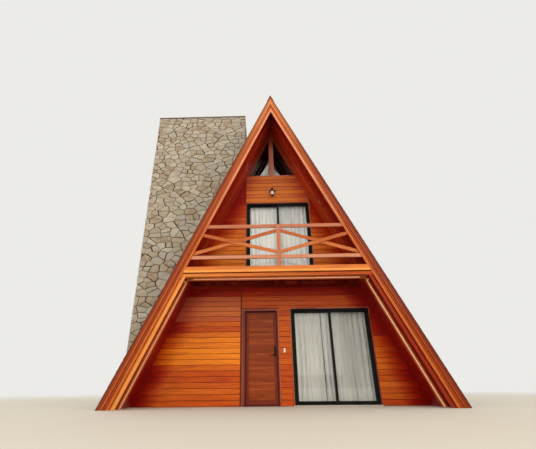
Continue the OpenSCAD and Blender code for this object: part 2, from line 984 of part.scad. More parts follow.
// Crossed braces on each side, cut to the rakes and meeting behind the post
module railing_braces() {
    low = low_rail_z + rail_w / 2;
    high = top_rail_z - rail_w / 2;
    foot = low + brace_foot;
    head = high - brace_foot;
    drop = high - brace_drop;
    rear_y0 = rake_y + rail_t - brace_t;
    color(timber)
        for (side = [-1, 1])
            intersection() {
                union() {
                    brace([side * half_at(drop, between_rakes), drop], [post_x, foot], rake_y);
                    brace([side * half_at(foot, between_rakes), foot], [post_x, head], rear_y0);
                }
                upright_plate([
                    [post_x + side * mitre / 2, low],
                    [side * half_at(low, between_rakes), low],
                    [side * half_at(high, between_rakes), high],
                    [post_x + side * mitre / 2, high]
                ], rake_y, rake_y + rail_t);
            }
}

// Wall lamp under the gable window: wall plate, arm, hanger, cap and base
module wall_lamp() {
    color(black_metal) {
        translate([0, wall_front, lamp_plate_z])
            rotate([90, 0, 0])
                cylinder(r = lamp_base_r, h = lamp_plate_t);
        translate([0, wall_front - lamp_plate_t / 2, lamp_plate_z])
            rotate([90, 0, 0])
                cylinder(r = lamp_arm_r, h = lamp_out);
        translate([0, wall_front - lamp_out, lamp_z + lamp_glass_h / 2])
            cylinder(r = lamp_arm_r, h = lamp_drop - lamp_glass_h / 2 + lamp_arm_r);
        translate([0, wall_front - lamp_out, lamp_z + lamp_glass_h / 2])
            cylinder(r1 = lamp_r, r2 = lamp_arm_r, h = lamp_cap_h);
        translate([0, wall_front - lamp_out, lamp_z - lamp_glass_h / 2 - lamp_base_h])
            cylinder(r1 = lamp_tip_r, r2 = lamp_base_r, h = lamp_base_h);
    }
}

// Glass body of the wall lamp, between its base and its cap
module lamp_glass() {
    color("white")
        translate([0, wall_front - lamp_out, lamp_z - lamp_glass_h / 2])
            cylinder(r1 = lamp_base_r, r2 = lamp_glass_r, h = lamp_glass_h);
}

// Bell push beside the front door
module bell_plate() {
    color("white") {
        block([bell_x - bell_w / 2, wall_front - bell_t, bell_z - bell_h / 2],
            [bell_x + bell_w / 2, wall_front, bell_z + bell_h / 2]);
        translate([bell_x, wall_front - bell_t, bell_z])
            rotate([90, 0, 0])
                cylinder(r = bell_button_r, h = bell_t / 2);
    }
}

// Four stone walls of the tower
module tower_walls() {
    color(stone)
        difference() {
            block([tower_left, tower_front, 0], [tower_x, tower_back, tower_h]);
            block([tower_left + tower_t, tower_front + tower_t, -past],
                [tower_x - tower_t, tower_back - tower_t, tower_h + past]);
        }
}

// Flat cap that closes the tower
module tower_cap() {
    color(stone)
        block([tower_left - tower_cap_over, tower_front - tower_cap_over, tower_h],
            [tower_x + tower_cap_over, tower_back + tower_cap_over, tower_h + tower_cap_t]);
}

ground_floor();
upper_floor();
balcony_boards();
balcony_joists();
balcony_beam();
balcony_bearers();
portal_rafters();
portal_tie();
portal_bead();
porch_casing();
porch_battens();
roof_covering();
ridge_cap();
roof_boards();
rafters();
lining();
rake_backing();
outer_rakes();
inner_rakes();
front_wall_lower();
front_wall_head();
front_wall_upper();
rear_wall();
gable_frames();
window_glass();
door_frame();
front_door();
door_hinges();
door_handles();
opening_trim();
patio_frame();
patio_leaf_left();
patio_leaf_right();
patio_glass_left();
patio_glass_right();
patio_sill();
upper_door();
rear_windows();
curtain_tracks();
curtains();
railing_rails();
railing_post();
railing_braces();
wall_lamp();
lamp_glass();
bell_plate();
tower_walls();
tower_cap();
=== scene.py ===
"""Looks of an A-frame cabin: varnished boards, a field-stone tower, cloth curtains and shingles.

Metres, X to the right, Y to the rear, Z up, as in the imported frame.
A "depth" is a distance into the roof, at right angles to its outer face.
"""

import math
import random
from functools import partial

import bpy
from mathutils import Matrix, Vector, noise


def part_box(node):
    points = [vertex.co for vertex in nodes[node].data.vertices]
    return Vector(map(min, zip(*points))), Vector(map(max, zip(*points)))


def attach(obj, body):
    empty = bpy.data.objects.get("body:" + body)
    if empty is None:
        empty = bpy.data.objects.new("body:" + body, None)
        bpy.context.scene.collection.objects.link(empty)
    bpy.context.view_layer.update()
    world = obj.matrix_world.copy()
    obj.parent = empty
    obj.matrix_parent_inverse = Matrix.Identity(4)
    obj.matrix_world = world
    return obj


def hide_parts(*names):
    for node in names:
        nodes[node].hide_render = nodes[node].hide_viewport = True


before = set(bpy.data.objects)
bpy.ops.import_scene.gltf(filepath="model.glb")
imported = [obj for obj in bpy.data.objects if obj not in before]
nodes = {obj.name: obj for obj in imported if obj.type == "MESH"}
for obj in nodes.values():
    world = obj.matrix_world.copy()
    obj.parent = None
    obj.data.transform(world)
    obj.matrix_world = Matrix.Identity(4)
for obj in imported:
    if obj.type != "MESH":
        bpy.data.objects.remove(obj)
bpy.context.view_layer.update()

X, Y, Z, DEPTH = range(4)
UP = Vector((0, 0, 1))
# Without a seed the stones' outlines would come out different each run
noise.seed_set(7)

# Size of the photograph, and the camera that took it
IMAGE_W = 536
FOCAL_PX = 343.1
CENTRE_PX = (255.1, 225.1)
IMAGE_MIDDLE = (268.0, 224.5)
CAMERA_AT = Vector((-0.295, -11.239, 0.389))
CAMERA_PITCH = math.radians(25.307)
CAMERA_YAW = math.radians(-1.385)
CAMERA_ROLL = math.radians(-0.476)
SENSOR_MM = 36.0

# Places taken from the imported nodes
COVER_LOW, COVER_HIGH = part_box("roof_covering")
RIDGE_LOW, RIDGE_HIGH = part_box("ridge_cap")
FRAME_LOW, FRAME_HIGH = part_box("door_frame")
LEAF_LOW, LEAF_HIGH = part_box("front_door")
PATIO_LOW, PATIO_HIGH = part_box("patio_frame")
UPPER_LOW, UPPER_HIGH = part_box("upper_door")
REAR_WINDOW_LOW, REAR_WINDOW_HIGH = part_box("rear_windows")
TOWER_LOW, TOWER_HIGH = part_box("tower_walls")
HANG_LOW, HANG_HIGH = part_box("curtains")
WALL_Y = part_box("front_wall_head")[0].y
REAR_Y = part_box("rear_wall")[1].y
CASING_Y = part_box("porch_casing")[0].y
GROUND_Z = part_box("ground_floor")[1].z
FLOOR_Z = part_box("upper_floor")[1].z
LOWER_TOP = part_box("front_wall_lower")[1].z
GABLE_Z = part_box("gable_frames")[0].z

# The roof's slope, from the covering's own box
ROOF_HALF = COVER_HIGH.x
ROOF_TOP = COVER_HIGH.z
SLOPE = ROOF_HALF / ROOF_TOP
HALF_ANGLE = math.atan(SLOPE)
SLOPE_LENGTH = math.hypot(ROOF_HALF, ROOF_TOP)

# Depths at which the boards end: above the balcony, in the porch and on the rear wall
STOREY_DEPTH = 0.2005
PORCH_DEPTH = 0.2855
REAR_DEPTH = 0.2405

# Wall boards: spacing, joint between two, how far they stand out and go in, rounding
BOARD_PITCH = 0.124
BOARD_JOINT = 0.009
BOARD_PROUD = 0.007
BOARD_IN = 0.00175
BOARD_EDGE = 0.005
TRIM_W = 0.026


def foot_at(depth):
    """Half the cabin's width at the ground, inside a depth."""
    return ROOF_HALF - depth / math.cos(HALF_ANGLE)


def height_at(x, depth):
    """Height of the slope over a place, inside a depth."""
    return (foot_at(depth) - abs(x)) / SLOPE


def outward_of(side):
    """The way out of the right-hand (1) or the left-hand (-1) slope."""
    return Vector((side * math.cos(HALF_ANGLE), 0, math.sin(HALF_ANGLE)))


def upslope_of(side):
    """The way up the right-hand (1) or the left-hand (-1) slope."""
    return Vector((-side * math.sin(HALF_ANGLE), 0, math.cos(HALF_ANGLE)))


# Handling of objects

def deselect():
    bpy.ops.object.select_all(action="DESELECT")


def pick(piece):
    """Selects a piece alone and makes it the active one."""
    deselect()
    piece.select_set(True)
    bpy.context.view_layer.objects.active = piece


def edit(piece, select="SELECT"):
    """Opens a piece in edit mode, all selected or all deselected."""
    pick(piece)
    bpy.ops.object.mode_set(mode="EDIT")
    bpy.ops.mesh.select_mode(type="VERT")
    bpy.ops.mesh.select_all(action=select)


def leave():
    bpy.ops.object.mode_set(mode="OBJECT")


def settle(piece):
    """Puts the piece's place, turn and scale into its mesh."""
    pick(piece)
    bpy.ops.object.transform_apply(location=True, rotation=True, scale=True)


def block(name, low, high):
    """A block between two corners."""
    low, high = Vector(low), Vector(high)
    deselect()
    bpy.ops.mesh.primitive_cube_add(size=1, location=(low + high) / 2)
    piece = bpy.context.object
    piece.name = name
    piece.scale = high - low
    settle(piece)
    return piece


def modify(piece, kind, **settings):
    """Adds a modifier and applies it."""
    pick(piece)
    modifier = piece.modifiers.new(kind.title(), kind)
    for key, value in settings.items():
        setattr(modifier, key, value)
    bpy.ops.object.modifier_apply(modifier=modifier.name)


def row_of(piece, count, step):
    """Repeats a piece in its own mesh, a step apart."""
    modify(piece, "ARRAY", count=count, use_relative_offset=False,
           use_constant_offset=True, constant_offset_displace=step)


def cut_off(piece, point, normal):
    """Cuts away what lies on the side that the normal points to, and closes the cut."""
    edit(piece)
    bpy.ops.mesh.bisect(plane_co=point, plane_no=normal, use_fill=True, clear_outer=True)
    leave()


def join(name, pieces):
    deselect()
    for piece in pieces:
        piece.select_set(True)
    bpy.context.view_layer.objects.active = pieces[0]
    bpy.ops.object.join()
    pieces[0].name = name
    return pieces[0]


def dress(piece, material, body):
    """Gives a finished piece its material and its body."""
    piece.data.materials.clear()
    piece.data.materials.append(material)
    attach(piece, body)
    return piece


def face_values(piece, name, value_of):
    """Keeps a value for every face under a name, worked out from the face's centre."""
    layer = piece.data.attributes.new(name, "FLOAT", "FACE")
    for face in piece.data.polygons:
        layer.data[face.index].value = value_of(face.center)


def tone_by_board(piece, index_of, seed, tone_of=lambda index, value: value):
    """Gives every face the tone of the board or tab it belongs to, drawn by its index."""
    tones = {}
    draw = random.Random(seed)

    def tone_at(centre):
        index = index_of(centre)
        if index not in tones:
            tones[index] = tone_of(index, draw.random())
        return tones[index]

    face_values(piece, "tone", tone_at)


# Materials

def rgb(code):
    """The linear colour of an sRGB hex value."""
    parts = [int(code[i:i + 2], 16) / 255 for i in (1, 3, 5)]
    return [c / 12.92 if c <= 0.04045 else ((c + 0.055) / 1.055) ** 2.4 for c in parts] + [1.0]


def feed(node, inputs):
    """Gives a node its inputs, which are values or other nodes' outputs."""
    for key, value in inputs.items():
        if isinstance(value, bpy.types.NodeSocket):
            node.id_data.links.new(value, node.inputs[key])
        else:
            node.inputs[key].default_value = value


def add_node(tree, kind, inputs=(), out=0, stops=None, **settings):
    """Adds a node with its settings and inputs, and returns one of its outputs.

    A kind in capitals is a sum of the Math node, such as ADD.
    The inputs are a dictionary, or a list in the node's own order.
    The stops of a colour ramp are hex colours by position.
    """
    if kind.isupper():
        settings["operation"] = kind
        kind = "Math"
    node = tree.nodes.new("ShaderNode" + kind)
    for key, value in settings.items():
        setattr(node, key, value)
    if stops:
        band = node.color_ramp
        while len(band.elements) < len(stops):
            band.elements.new(0.5)
        for element, (position, code) in zip(band.elements, stops.items()):
            element.position = position
            element.color = rgb(code)
    feed(node, inputs if isinstance(inputs, dict) else dict(enumerate(inputs)))
    return node.outputs[out]


def new_material(name):
    """A material, the function that adds nodes to it, and its surface shader."""
    material = bpy.data.materials.new(name)
    material.use_nodes = True
    tree = material.node_tree
    return material, partial(add_node, tree), tree.nodes["Principled BSDF"]


def show(surface, shader):
    """Makes a material show another shader than its surface shader."""
    feed(surface.id_data.nodes["Material Output"], {"Surface": shader})


def put_on(material, *names):
    """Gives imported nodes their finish."""
    for name in names:
        nodes[name].data.materials.clear()
        nodes[name].data.materials.append(material)


def cover(surface, body, shade, roughness, bump, height):
    """Gives a surface its colour times a shade, its roughness and its relief by (strength, distance)."""
    add = partial(add_node, surface.id_data)
    feed(surface, {
        "Base Color": add("Mix", {0: 1.0, 6: body, 7: shade}, out=2, data_type="RGBA",
                          blend_type="MULTIPLY"),
        "Roughness": roughness,
        "Normal": add("Bump", {"Strength": bump[0], "Distance": bump[1], "Height": height})})


def slope_place(add):
    """Object coordinates as (way out of the slope, Y, way up the slope), the same on both slopes."""
    split = add("SeparateXYZ", [add("TexCoord", out="Object")]).node.outputs
    side = add("ABSOLUTE", [split[X]])
    joined = add("CombineXYZ", [side, split[Y], split[Z]])
    return add("VectorRotate", {"Vector": joined, "Angle": HALF_ANGLE}, rotation_type="Y_AXIS")


def roof_depth(add, split):
    """How far a point lies inside the roof's outer face."""
    side = add("ABSOLUTE", [split[X]])
    across = add("MULTIPLY_ADD", [split[Z], SLOPE, side])
    inside = add("SUBTRACT", [ROOF_HALF, across])
    return add("MULTIPLY", [inside, math.cos(HALF_ANGLE)])


# Grain of the timber, per metre along a board and across it. With its scale of 1.6 a streak is about
# 18 mm wide and 0.6 m long, and a fibre is 4 mm wide and 0.1 m long: coarser than real, so that they show.
STREAKS_PER_M = (1.1, 34.0)
STREAK_NOISE = {"Scale": 1.6, "Detail": 5.0, "Roughness": 0.62, "Distortion": 0.4}
FIBRES_PER_M = (9.0, 260.0)
FIBRE_NOISE = {"Scale": 1.0, "Detail": 3.0, "Roughness": 0.6}
# How far the grain moves on from one board to the next, and by how much it moves a board's tone
BOARD_SHIFT = 37.0
DRIFT = 0.14
# Greyish brown of a painted sky reflection on the varnish, and its share where it is painted
PAINTED_SHEEN_BROWN = "#C46846"
PAINTED_SHEEN_SHARE = 0.42
# Light left in a joint, and what the varnish mirrors
JOINT_SHADE = 0.18
VARNISH_SHINE = 0.23


def grain_noise(add, split, along, across, per_m, shift, pattern):
    """Noise that is drawn out along the boards."""
    third = 3 - along - across
    place = add("CombineXYZ", [
        add("MULTIPLY_ADD", [split[along], per_m[0], shift]),
        add("MULTIPLY", [split[across], per_m[1]]),
        add("MULTIPLY_ADD", [split[third], per_m[1], shift])])
    return add("TexNoise", {"Vector": place, **pattern})


def joint_line(add, where, pitch, joint):
    """1 on a board, dark in the joint between two."""
    part = add("FRACT", [add("DIVIDE", [where, pitch])])
    rest = add("SUBTRACT", [1.0, part])
    edge = add("MINIMUM", [part, rest])
    return add("MapRange", [edge, joint / pitch * 0.35, joint / pitch, JOINT_SHADE, 1.0])


def timber(name, stops, along, across, pitch, on_slope=False, own_tone=False, joint=0.0, gloss=0.22,
           streak=0.3, tones=(0.0, 1.0), shifts=(), aloft=None):
    """Varnished softwood boards, grain running along one axis and boards side by side on another.

    stops are the tones from the darkest board to the palest one, and tones is the part of them that
    the boards span. on_slope turns the axes: X is the way out of the slope and Z the way up it.
    Each of shifts moves the tone by an amount between two limits of an axis or of the depth.
    aloft has the tones of boards that are paler higher up, and where they start and end.
    """
    material, add, surface = new_material(name)
    plain_split = add("SeparateXYZ", [add("TexCoord", out="Object")]).node.outputs
    split = add("SeparateXYZ", [slope_place(add)]).node.outputs if on_slope else plain_split
    if own_tone:
        tone = add("Attribute", out="Fac", attribute_name="tone")
    else:
        share = add("DIVIDE", [split[across], pitch])
        index = add("FLOOR", [share])
        tone = add("TexWhiteNoise", {"W": index}, noise_dimensions="1D")
    shift = add("MULTIPLY", [tone, BOARD_SHIFT])
    grain = grain_noise(add, split, along, across, STREAKS_PER_M, shift, STREAK_NOISE)
    fibre = grain_noise(add, split, along, across, FIBRES_PER_M, 0.0, FIBRE_NOISE)

    # The board's own tone, moved by the grain, and moved by the board's place, which paints light and shade
    # in most finishes below
    level = add("MULTIPLY_ADD", [tone, tones[1] - tones[0], tones[0]])
    drift = add("MapRange", [grain, 0.25, 0.75, -DRIFT, DRIFT])
    level = add("ADD", [level, drift])
    for axis, start, end, amount in shifts:
        where = roof_depth(add, plain_split) if axis == DEPTH else plain_split[axis]
        share = add("MapRange", [where, start, end])
        level = add("MULTIPLY_ADD", [share, amount, level])
    body = add("ValToRGB", [level], stops=stops)
    # Painted sky reflection: a greyish brown mixed in on the faces marked for it
    if own_tone:
        painted_sheen = add("MULTIPLY", [add("Attribute", out="Fac", attribute_name="painted_sheen"), PAINTED_SHEEN_SHARE])
        body = add("Mix", {0: painted_sheen, 6: body, 7: rgb(PAINTED_SHEEN_BROWN)}, out=2, data_type="RGBA")
    if aloft:
        high_stops, start, end = aloft
        share = add("MapRange", [split[along], start, end])
        pale = add("ValToRGB", [level], stops=high_stops)
        body = add("Mix", {0: share, 6: body, 7: pale}, out=2, data_type="RGBA")

    # Dark streaks, fine fibres and the joints shade the body colour
    dark = add("MapRange", [grain, 0.28, 0.55, 1.0 - streak, 1.0])
    fine = add("MapRange", [fibre, 0.35, 0.65, 0.86, 1.06])
    shade = add("MULTIPLY", [dark, fine])
    height = add("MULTIPLY", [fibre, 0.35])
    height = add("MULTIPLY_ADD", [grain, 0.5, height])
    if joint:
        line = joint_line(add, split[across], pitch, joint)
        shade = add("MULTIPLY", [shade, line])
        height = add("MULTIPLY_ADD", [line, 4.0, height])
    cover(surface, body, shade, add("MapRange", [grain, 0.3, 0.7, gloss + 0.12, gloss]),
          (0.35, 0.002), height)
    feed(surface, {"Specular IOR Level": VARNISH_SHINE})
    return material


WALL_TONES = {0: "#8A0500", 0.2: "#9E1800", 0.42: "#BE4200", 0.7: "#DC6C04", 1: "#F6880E"}
BACKING_TONES = {0: "#541C08", 1: "#74300C"}
SOFFIT_TONES = {0: "#140402", 0.15: "#6E0804", 0.55: "#9C1C08", 1: "#D84C1C"}
DEEP_TONES = {0: "#6A0E04", 0.5: "#8E1C08", 1: "#B03812"}
CASING_TONES = {0: "#7C0A05", 0.5: "#A01408", 1: "#E8904C"}
PORTAL_TONES = {0: "#7A1204", 0.5: "#9C2410", 1: "#B43A1A"}
TIE_TONES = {0: "#D8703A", 1: "#F08C4C"}
BEAD_TONES = {0: "#C88058", 1: "#FFDCC0"}
BEAM_TONES = {0: "#D87430", 0.5: "#E88A3A", 1: "#F8A24C"}
BATTEN_TONES = {0: "#6A0F04", 0.35: "#A02C08", 0.6: "#C8661C", 1: "#F0984A"}
OUTER_RAKE_TONES = {0: "#742608", 0.5: "#943A12", 1: "#BE6634"}
OUTER_RAKE_PALE = {0: "#B05820", 0.5: "#D07A38", 1: "#EAA062"}
INNER_RAKE_TONES = {0: "#8C3004", 0.5: "#B65014", 1: "#D87E34"}
INNER_RAKE_PALE = {0: "#9C4A20", 0.5: "#D07848", 1: "#F8AA88"}
GABLE_TONES = {0: "#5E1A10", 0.5: "#9C4630", 1: "#CE8468"}
BRACE_TONES = {0: "#94421C", 0.5: "#B45828", 1: "#CC7238"}
RAIL_TONES = {0: "#A0583C", 0.5: "#B86C4C", 1: "#CE8A68"}
TRIM_TONES = {0: "#90402A", 1: "#B46A4A"}
STRIP_TONES = {0: "#6E2410", 1: "#8A3C1E"}
DOOR_TONES = {0: "#762C02", 0.5: "#963C08", 1: "#BA5814"}
STILE_TONES = {0: "#1C0602", 0.4: "#6A1A08", 1: "#96401A"}
FRAME_TONES = {0: "#4C0C06", 0.5: "#742014", 1: "#C87858"}

# Glossy varnished pine boards: each board has its own tone, from red-brown to gold, and near the
# slopes they turn darker: painted shade of the eaves
wall_boards = timber("varnished pine wall boards", WALL_TONES, X, Z, BOARD_PITCH, own_tone=True,
                     tones=(-0.6, 0.4), shifts=[(DEPTH, 0.28, 0.8, 0.6)])
# Above the balcony they are darker towards both slopes and at both sides of the upper door: painted shade of
# the roof
storey_boards = timber("varnished pine boards above the balcony", WALL_TONES, X, Z, BOARD_PITCH,
                       own_tone=True, tones=(-0.45, 0.55),
                       shifts=[(DEPTH, 0.2, 0.7, 0.45), (X, 0.6, 1.05, -0.32), (X, -0.45, -0.75, -0.2)])
# Dull dark stain on what shows between the boards
put_on(timber("stained wall backing", BACKING_TONES, X, Z, BOARD_PITCH, gloss=0.6),
       "front_wall_lower", "front_wall_head", "front_wall_upper", "rear_wall")
# Stained soffit: deep red, grain up the slope. Its boards are paler towards the wall and on the right,
# which is painted light, and nearly black indoors, which is painted shade.
put_on(timber("stained soffit boards", SOFFIT_TONES, Z, Y, 0.1, on_slope=True, joint=0.006,
              tones=(0.12, 0.45),
              shifts=[(Y, COVER_LOW.y + 0.5, COVER_LOW.y + 0.65, 0.34), (X, -0.3, 0.7, 0.25),
                      (Y, WALL_Y + 0.02, WALL_Y + 0.1, -1.2), (Y, REAR_Y - 0.1, REAR_Y - 0.02, 1.1)]),
       "roof_boards", "lining")
# Deep red casing that turns golden along its front edge, painted light beside the bead; plain deep red
# portal, salmon tie
put_on(timber("stained casing, golden along its front edge", CASING_TONES, Z, Y, 0.6, on_slope=True,
              tones=(0.9, 1.0), shifts=[(Y, CASING_Y, CASING_Y + 0.25, -0.7)]), "porch_casing")
put_on(timber("stained portal timber", PORTAL_TONES, Z, Y, 0.6, on_slope=True),
       "portal_rafters", "rafters", "rake_backing")
put_on(timber("stained tie beam", TIE_TONES, X, Z, 0.3), "portal_tie")
# Rake boards: red-brown near the ground, turning orange and salmon higher up the slope
put_on(timber("varnished rake boards", OUTER_RAKE_TONES, Z, X, 0.055, on_slope=True, streak=0.25,
              tones=(0.0, 0.7), shifts=[(X, 2.5, -2.0, 0.25)], aloft=(OUTER_RAKE_PALE, 4.6, 7.4)),
       "outer_rakes")
# Inner rake boards: paler along their inner edge, a painted highlight
put_on(timber("pale varnished rake boards", INNER_RAKE_TONES, Z, X, 0.06, on_slope=True, streak=0.22,
              tones=(0.1, 0.4), shifts=[(DEPTH, 0.15, 0.185, 0.5)], aloft=(INNER_RAKE_PALE, 2.6, 4.4)),
       "inner_rakes")
# Golden beam with dark streaks; battens with painted light on the left and painted shade on the right; the
# ledger on the wall is dark red
put_on(timber("golden varnished beam", BEAM_TONES, X, Z, 0.045, streak=0.4), "balcony_beam")
put_on(timber("varnished side battens", BATTEN_TONES, Z, X, 0.06, on_slope=True, streak=0.22,
              tones=(0.7, 1.0), shifts=[(X, -0.6, 0.6, -0.68)]), "porch_battens")
# The bearers darken towards the right as well, painted shade
put_on(timber("varnished bearers", BATTEN_TONES, X, Z, 0.3, streak=0.22, tones=(0.6, 0.95),
              shifts=[(X, -2.0, 1.6, -0.35), (Y, WALL_Y - 0.25, WALL_Y - 0.2, -0.6)]), "balcony_bearers")
# Railing: dull salmon rails and post, more orange braces
put_on(timber("varnished railing timber", RAIL_TONES, X, Z, 0.5, streak=0.25), "railing_rails")
put_on(timber("varnished railing post", RAIL_TONES, Z, X, 0.5, streak=0.25), "railing_post")
put_on(timber("orange varnished braces", BRACE_TONES, X, Z, 0.5, streak=0.25), "railing_braces")
# Deep red stain under and on the balcony, and on the upper floor
put_on(timber("stained joists", DEEP_TONES, Y, X, 0.4, tones=(0.0, 0.2)), "balcony_joists")
put_on(timber("stained balcony deck boards", DEEP_TONES, X, Y, 0.12, joint=0.006, gloss=0.4,
              tones=(0.0, 0.4)), "balcony_boards")
put_on(timber("interior floor boards", DEEP_TONES, Y, X, 0.14, joint=0.004, gloss=0.4), "upper_floor")
# Trim round the openings: salmon, the gable's post paler than its sloping members, strips dark
put_on(timber("varnished trim round the openings", TRIM_TONES, Z, X, 0.5, streak=0.25), "opening_trim")
put_on(timber("varnished gable window frames", GABLE_TONES, Z, X, 0.5, streak=0.25, tones=(0.35, 0.5),
              shifts=[(DEPTH, 0.3, 0.42, 0.4)]), "gable_frames")
strip_timber = timber("varnished upright strips", STRIP_TONES, Z, X, 0.5, streak=0.25)
# Front door: streaky brown boards, a leaf with painted shadow in the gaps round it, darker towards its sides
# and nearly black along its top edge, and a frame paler along its outer edge
door_timber = timber("brown varnished door boards", DOOR_TONES, X, Z, 0.09, own_tone=True, gloss=0.3,
                     streak=0.5)
put_on(timber("brown varnished door stiles", STILE_TONES, Z, X, 0.4, gloss=0.3, streak=0.4,
              tones=(0.6, 0.8), shifts=[(X, LEAF_LOW.x + 0.05, LEAF_LOW.x + 0.02, -0.3),
                                        (X, LEAF_HIGH.x - 0.05, LEAF_HIGH.x - 0.02, -0.3),
                                        (Z, LEAF_HIGH.z - 0.045, LEAF_HIGH.z - 0.03, -0.7)]), "front_door")
put_on(timber("red-brown varnished door frame", FRAME_TONES, Z, X, 0.4, gloss=0.3,
              tones=(0.15, 0.4), shifts=[(X, FRAME_LOW.x + 0.024, FRAME_LOW.x + 0.014, 0.7),
                                         (X, FRAME_HIGH.x - 0.024, FRAME_HIGH.x - 0.014, 0.7),
                                         (Z, FRAME_HIGH.z - 0.024, FRAME_HIGH.z - 0.014, 0.7)]), "door_frame")
# Half-round bead along the porch: light salmon wood made paler towards the right, a painted highlight, and
# given a glow of its own, painted light on a part that is no lamp
bead = timber("pale bead with painted glow", BEAD_TONES, Z, Y, 0.5, on_slope=True, gloss=0.2, streak=0.08,
              tones=(0.1, 0.25), shifts=[(X, -3.0, 1.5, 0.7)])
feed(bead.node_tree.nodes["Principled BSDF"], {"Emission Color": rgb("#FFA070"), "Emission Strength": 0.38})
put_on(bead, "portal_bead")

# A plain finish changes its tone over about 0.3 m, and its grit is drawn four times its size, to show
CHANGES_PER_M = 3.0
GRIT_DRAWN = 4


def plain(name, code, roughness, metallic=0.0, grit_mm=1.0, dent=0.0002, spread=0.06, shine=0.5):
    """A finish of one colour with fine grit and a faint change of tone."""
    material, add, surface = new_material(name)
    place = add("TexCoord", out="Object")
    broad = add("TexNoise", {"Vector": place, "Scale": CHANGES_PER_M, "Detail": 3.0})
    fine = add("TexNoise", {"Vector": place, "Scale": 1000 / grit_mm / GRIT_DRAWN, "Detail": 2.0})
    value = add("MapRange", [broad, 0.3, 0.7, 1 - spread, 1 + spread])
    rough = add("MapRange", [fine, 0.0, 1.0, roughness - 0.05, roughness + 0.08])
    cover(surface, rgb(code), value, rough, (0.5, dent), fine)
    feed(surface, {"Metallic": metallic, "Specular IOR Level": shine})
    return material


# Powder-coated aluminium: near black, an even satin sheen
put_on(plain("black powder-coated aluminium", "#0A0A0B", 0.38, grit_mm=1.5, shine=0.25),
       "patio_frame", "patio_leaf_left", "patio_leaf_right", "upper_door", "rear_windows")
# Painted steel: black, a little glossier than the frames
put_on(plain("black painted steel", "#0B0B0B", 0.3, grit_mm=2.0, shine=0.35), "door_hinges", "wall_lamp")
# Lever and plate of the front door: dark satin steel, grey where it catches the light
put_on(plain("dark satin steel", "#2E2C2A", 0.3, metallic=0.9), "door_handles")
# White enamel on the curtain tracks, and a cream moulded cover for the bell
put_on(plain("white enamelled curtain track", "#E4E2DC", 0.35), "curtain_tracks")
put_on(plain("cream moulded plastic", "#EBDCC6", 0.4), "bell_plate")
# Painted sheet edging of the roof: dull red-brown
put_on(plain("red-brown painted roof edging", "#6E2A16", 0.5, grit_mm=2.0), "roof_covering", "ridge_cap")
# Matt fired tiles indoors, and a pale grey, dull stone sill under the sliding door
put_on(plain("matt grey floor tiles", "#A39C90", 0.6, grit_mm=3.0), "ground_floor")
put_on(plain("honed stone sill", "#B9B2A4", 0.55, grit_mm=4.0, spread=0.12), "patio_sill")
# Opal glass: milky white, satin, some light comes through
opal = plain("opal lamp glass", "#F6F3EA", 0.25, grit_mm=6.0, dent=0.0001, spread=0.02)
feed(opal.node_tree.nodes["Principled BSDF"], {"Transmission Weight": 0.2})
put_on(opal, "lamp_glass")

# Split stone has clouds about 110 mm wide and pits of 14 mm, per metre
CLOUDS_PER_M = 9.0
PITS_PER_M = 70.0


def stone_material(name, stops, own_tone=False):
    """Split field stone: each stone has its own tone, cloudy and pitted."""
    material, add, surface = new_material(name)
    place = add("TexCoord", out="Object")
    if own_tone:
        tone = add("Attribute", out="Fac", attribute_name="tone")
    else:
        tone = add("TexNoise", {"Vector": place, "Scale": 2.0})
    cloud = add("TexNoise", {"Vector": place, "Scale": CLOUDS_PER_M, "Detail": 6.0, "Roughness": 0.65})
    pits = add("TexNoise", {"Vector": place, "Scale": PITS_PER_M, "Detail": 5.0, "Roughness": 0.7})
    drift = add("MapRange", [cloud, 0.3, 0.7, -0.3, 0.3])
    level = add("ADD", [tone, drift])
    speck = add("MapRange", [pits, 0.32, 0.6, 0.68, 1.08])
    height = add("MULTIPLY_ADD", [cloud, 2.0, pits])
    cover(surface, add("ValToRGB", [level], stops=stops), speck, 0.9, (0.8, 0.006), height)
    return material


# Beige and grey stones, brown mortar between them and a dark coping on top
STONE_TONES = {0: "#96826B", 0.2: "#A5957F", 0.4: "#A79C84", 0.6: "#A5988E", 0.8: "#ACA18A", 1: "#B7AC98"}
field_stone = stone_material("split field stone", STONE_TONES, own_tone=True)
put_on(stone_material("dark mortar", {0: "#2E2216", 1: "#503E2A"}), "tower_walls")
put_on(stone_material("grey coping", {0: "#4C4032", 1: "#6A5C48"}), "tower_cap")

# Shingles are faced with grit of about 3 mm, drawn coarser than it is, in patches of 70 mm, per metre
GRIT_PER_M = 320.0
PATCHES_PER_M = 14.0


def shingle_material():
    """Mineral-faced shingles: grey-brown grit, each tab a little different."""
    material, add, surface = new_material("mineral-faced shingles")
    place = add("TexCoord", out="Object")
    tone = add("Attribute", out="Fac", attribute_name="tone")
    grit = add("TexNoise", {"Vector": place, "Scale": GRIT_PER_M, "Detail": 2.0})
    patch = add("TexNoise", {"Vector": place, "Scale": PATCHES_PER_M, "Detail": 4.0})
    level = add("MULTIPLY", [tone, 0.6])
    level = add("MULTIPLY_ADD", [patch, 0.5, level])
    body = add("ValToRGB", [level], stops={0.1: "#3B342E", 0.5: "#574C43", 0.9: "#73675B"})
    value = add("MapRange", [grit, 0.35, 0.65, 0.7, 1.2])
    cover(surface, body, value, 0.93, (0.7, 0.001), grit)
    return material


def glass_material(name, shine):
    """Float glass: clear, sharp reflections, IOR 1.52, and its shadow lets the light pass."""
    material, add, surface = new_material(name)
    feed(surface, {"Base Color": rgb("#F8FBFA"), "Specular IOR Level": shine, "Transmission Weight": 1.0,
                   "Roughness": 0.0, "IOR": 1.52})
    passing = add("BsdfTransparent", {"Color": rgb("#FFFFFF")})
    mixed = add("MixShader", [add("LightPath", out="Is Shadow Ray"), surface.outputs[0], passing])
    show(surface, mixed)
    return material


# Cloth woven of threads 0.8 mm apart, with thicker threads that show as slubs
THREAD = 0.0008
SLUBS_PER_M = 60.0


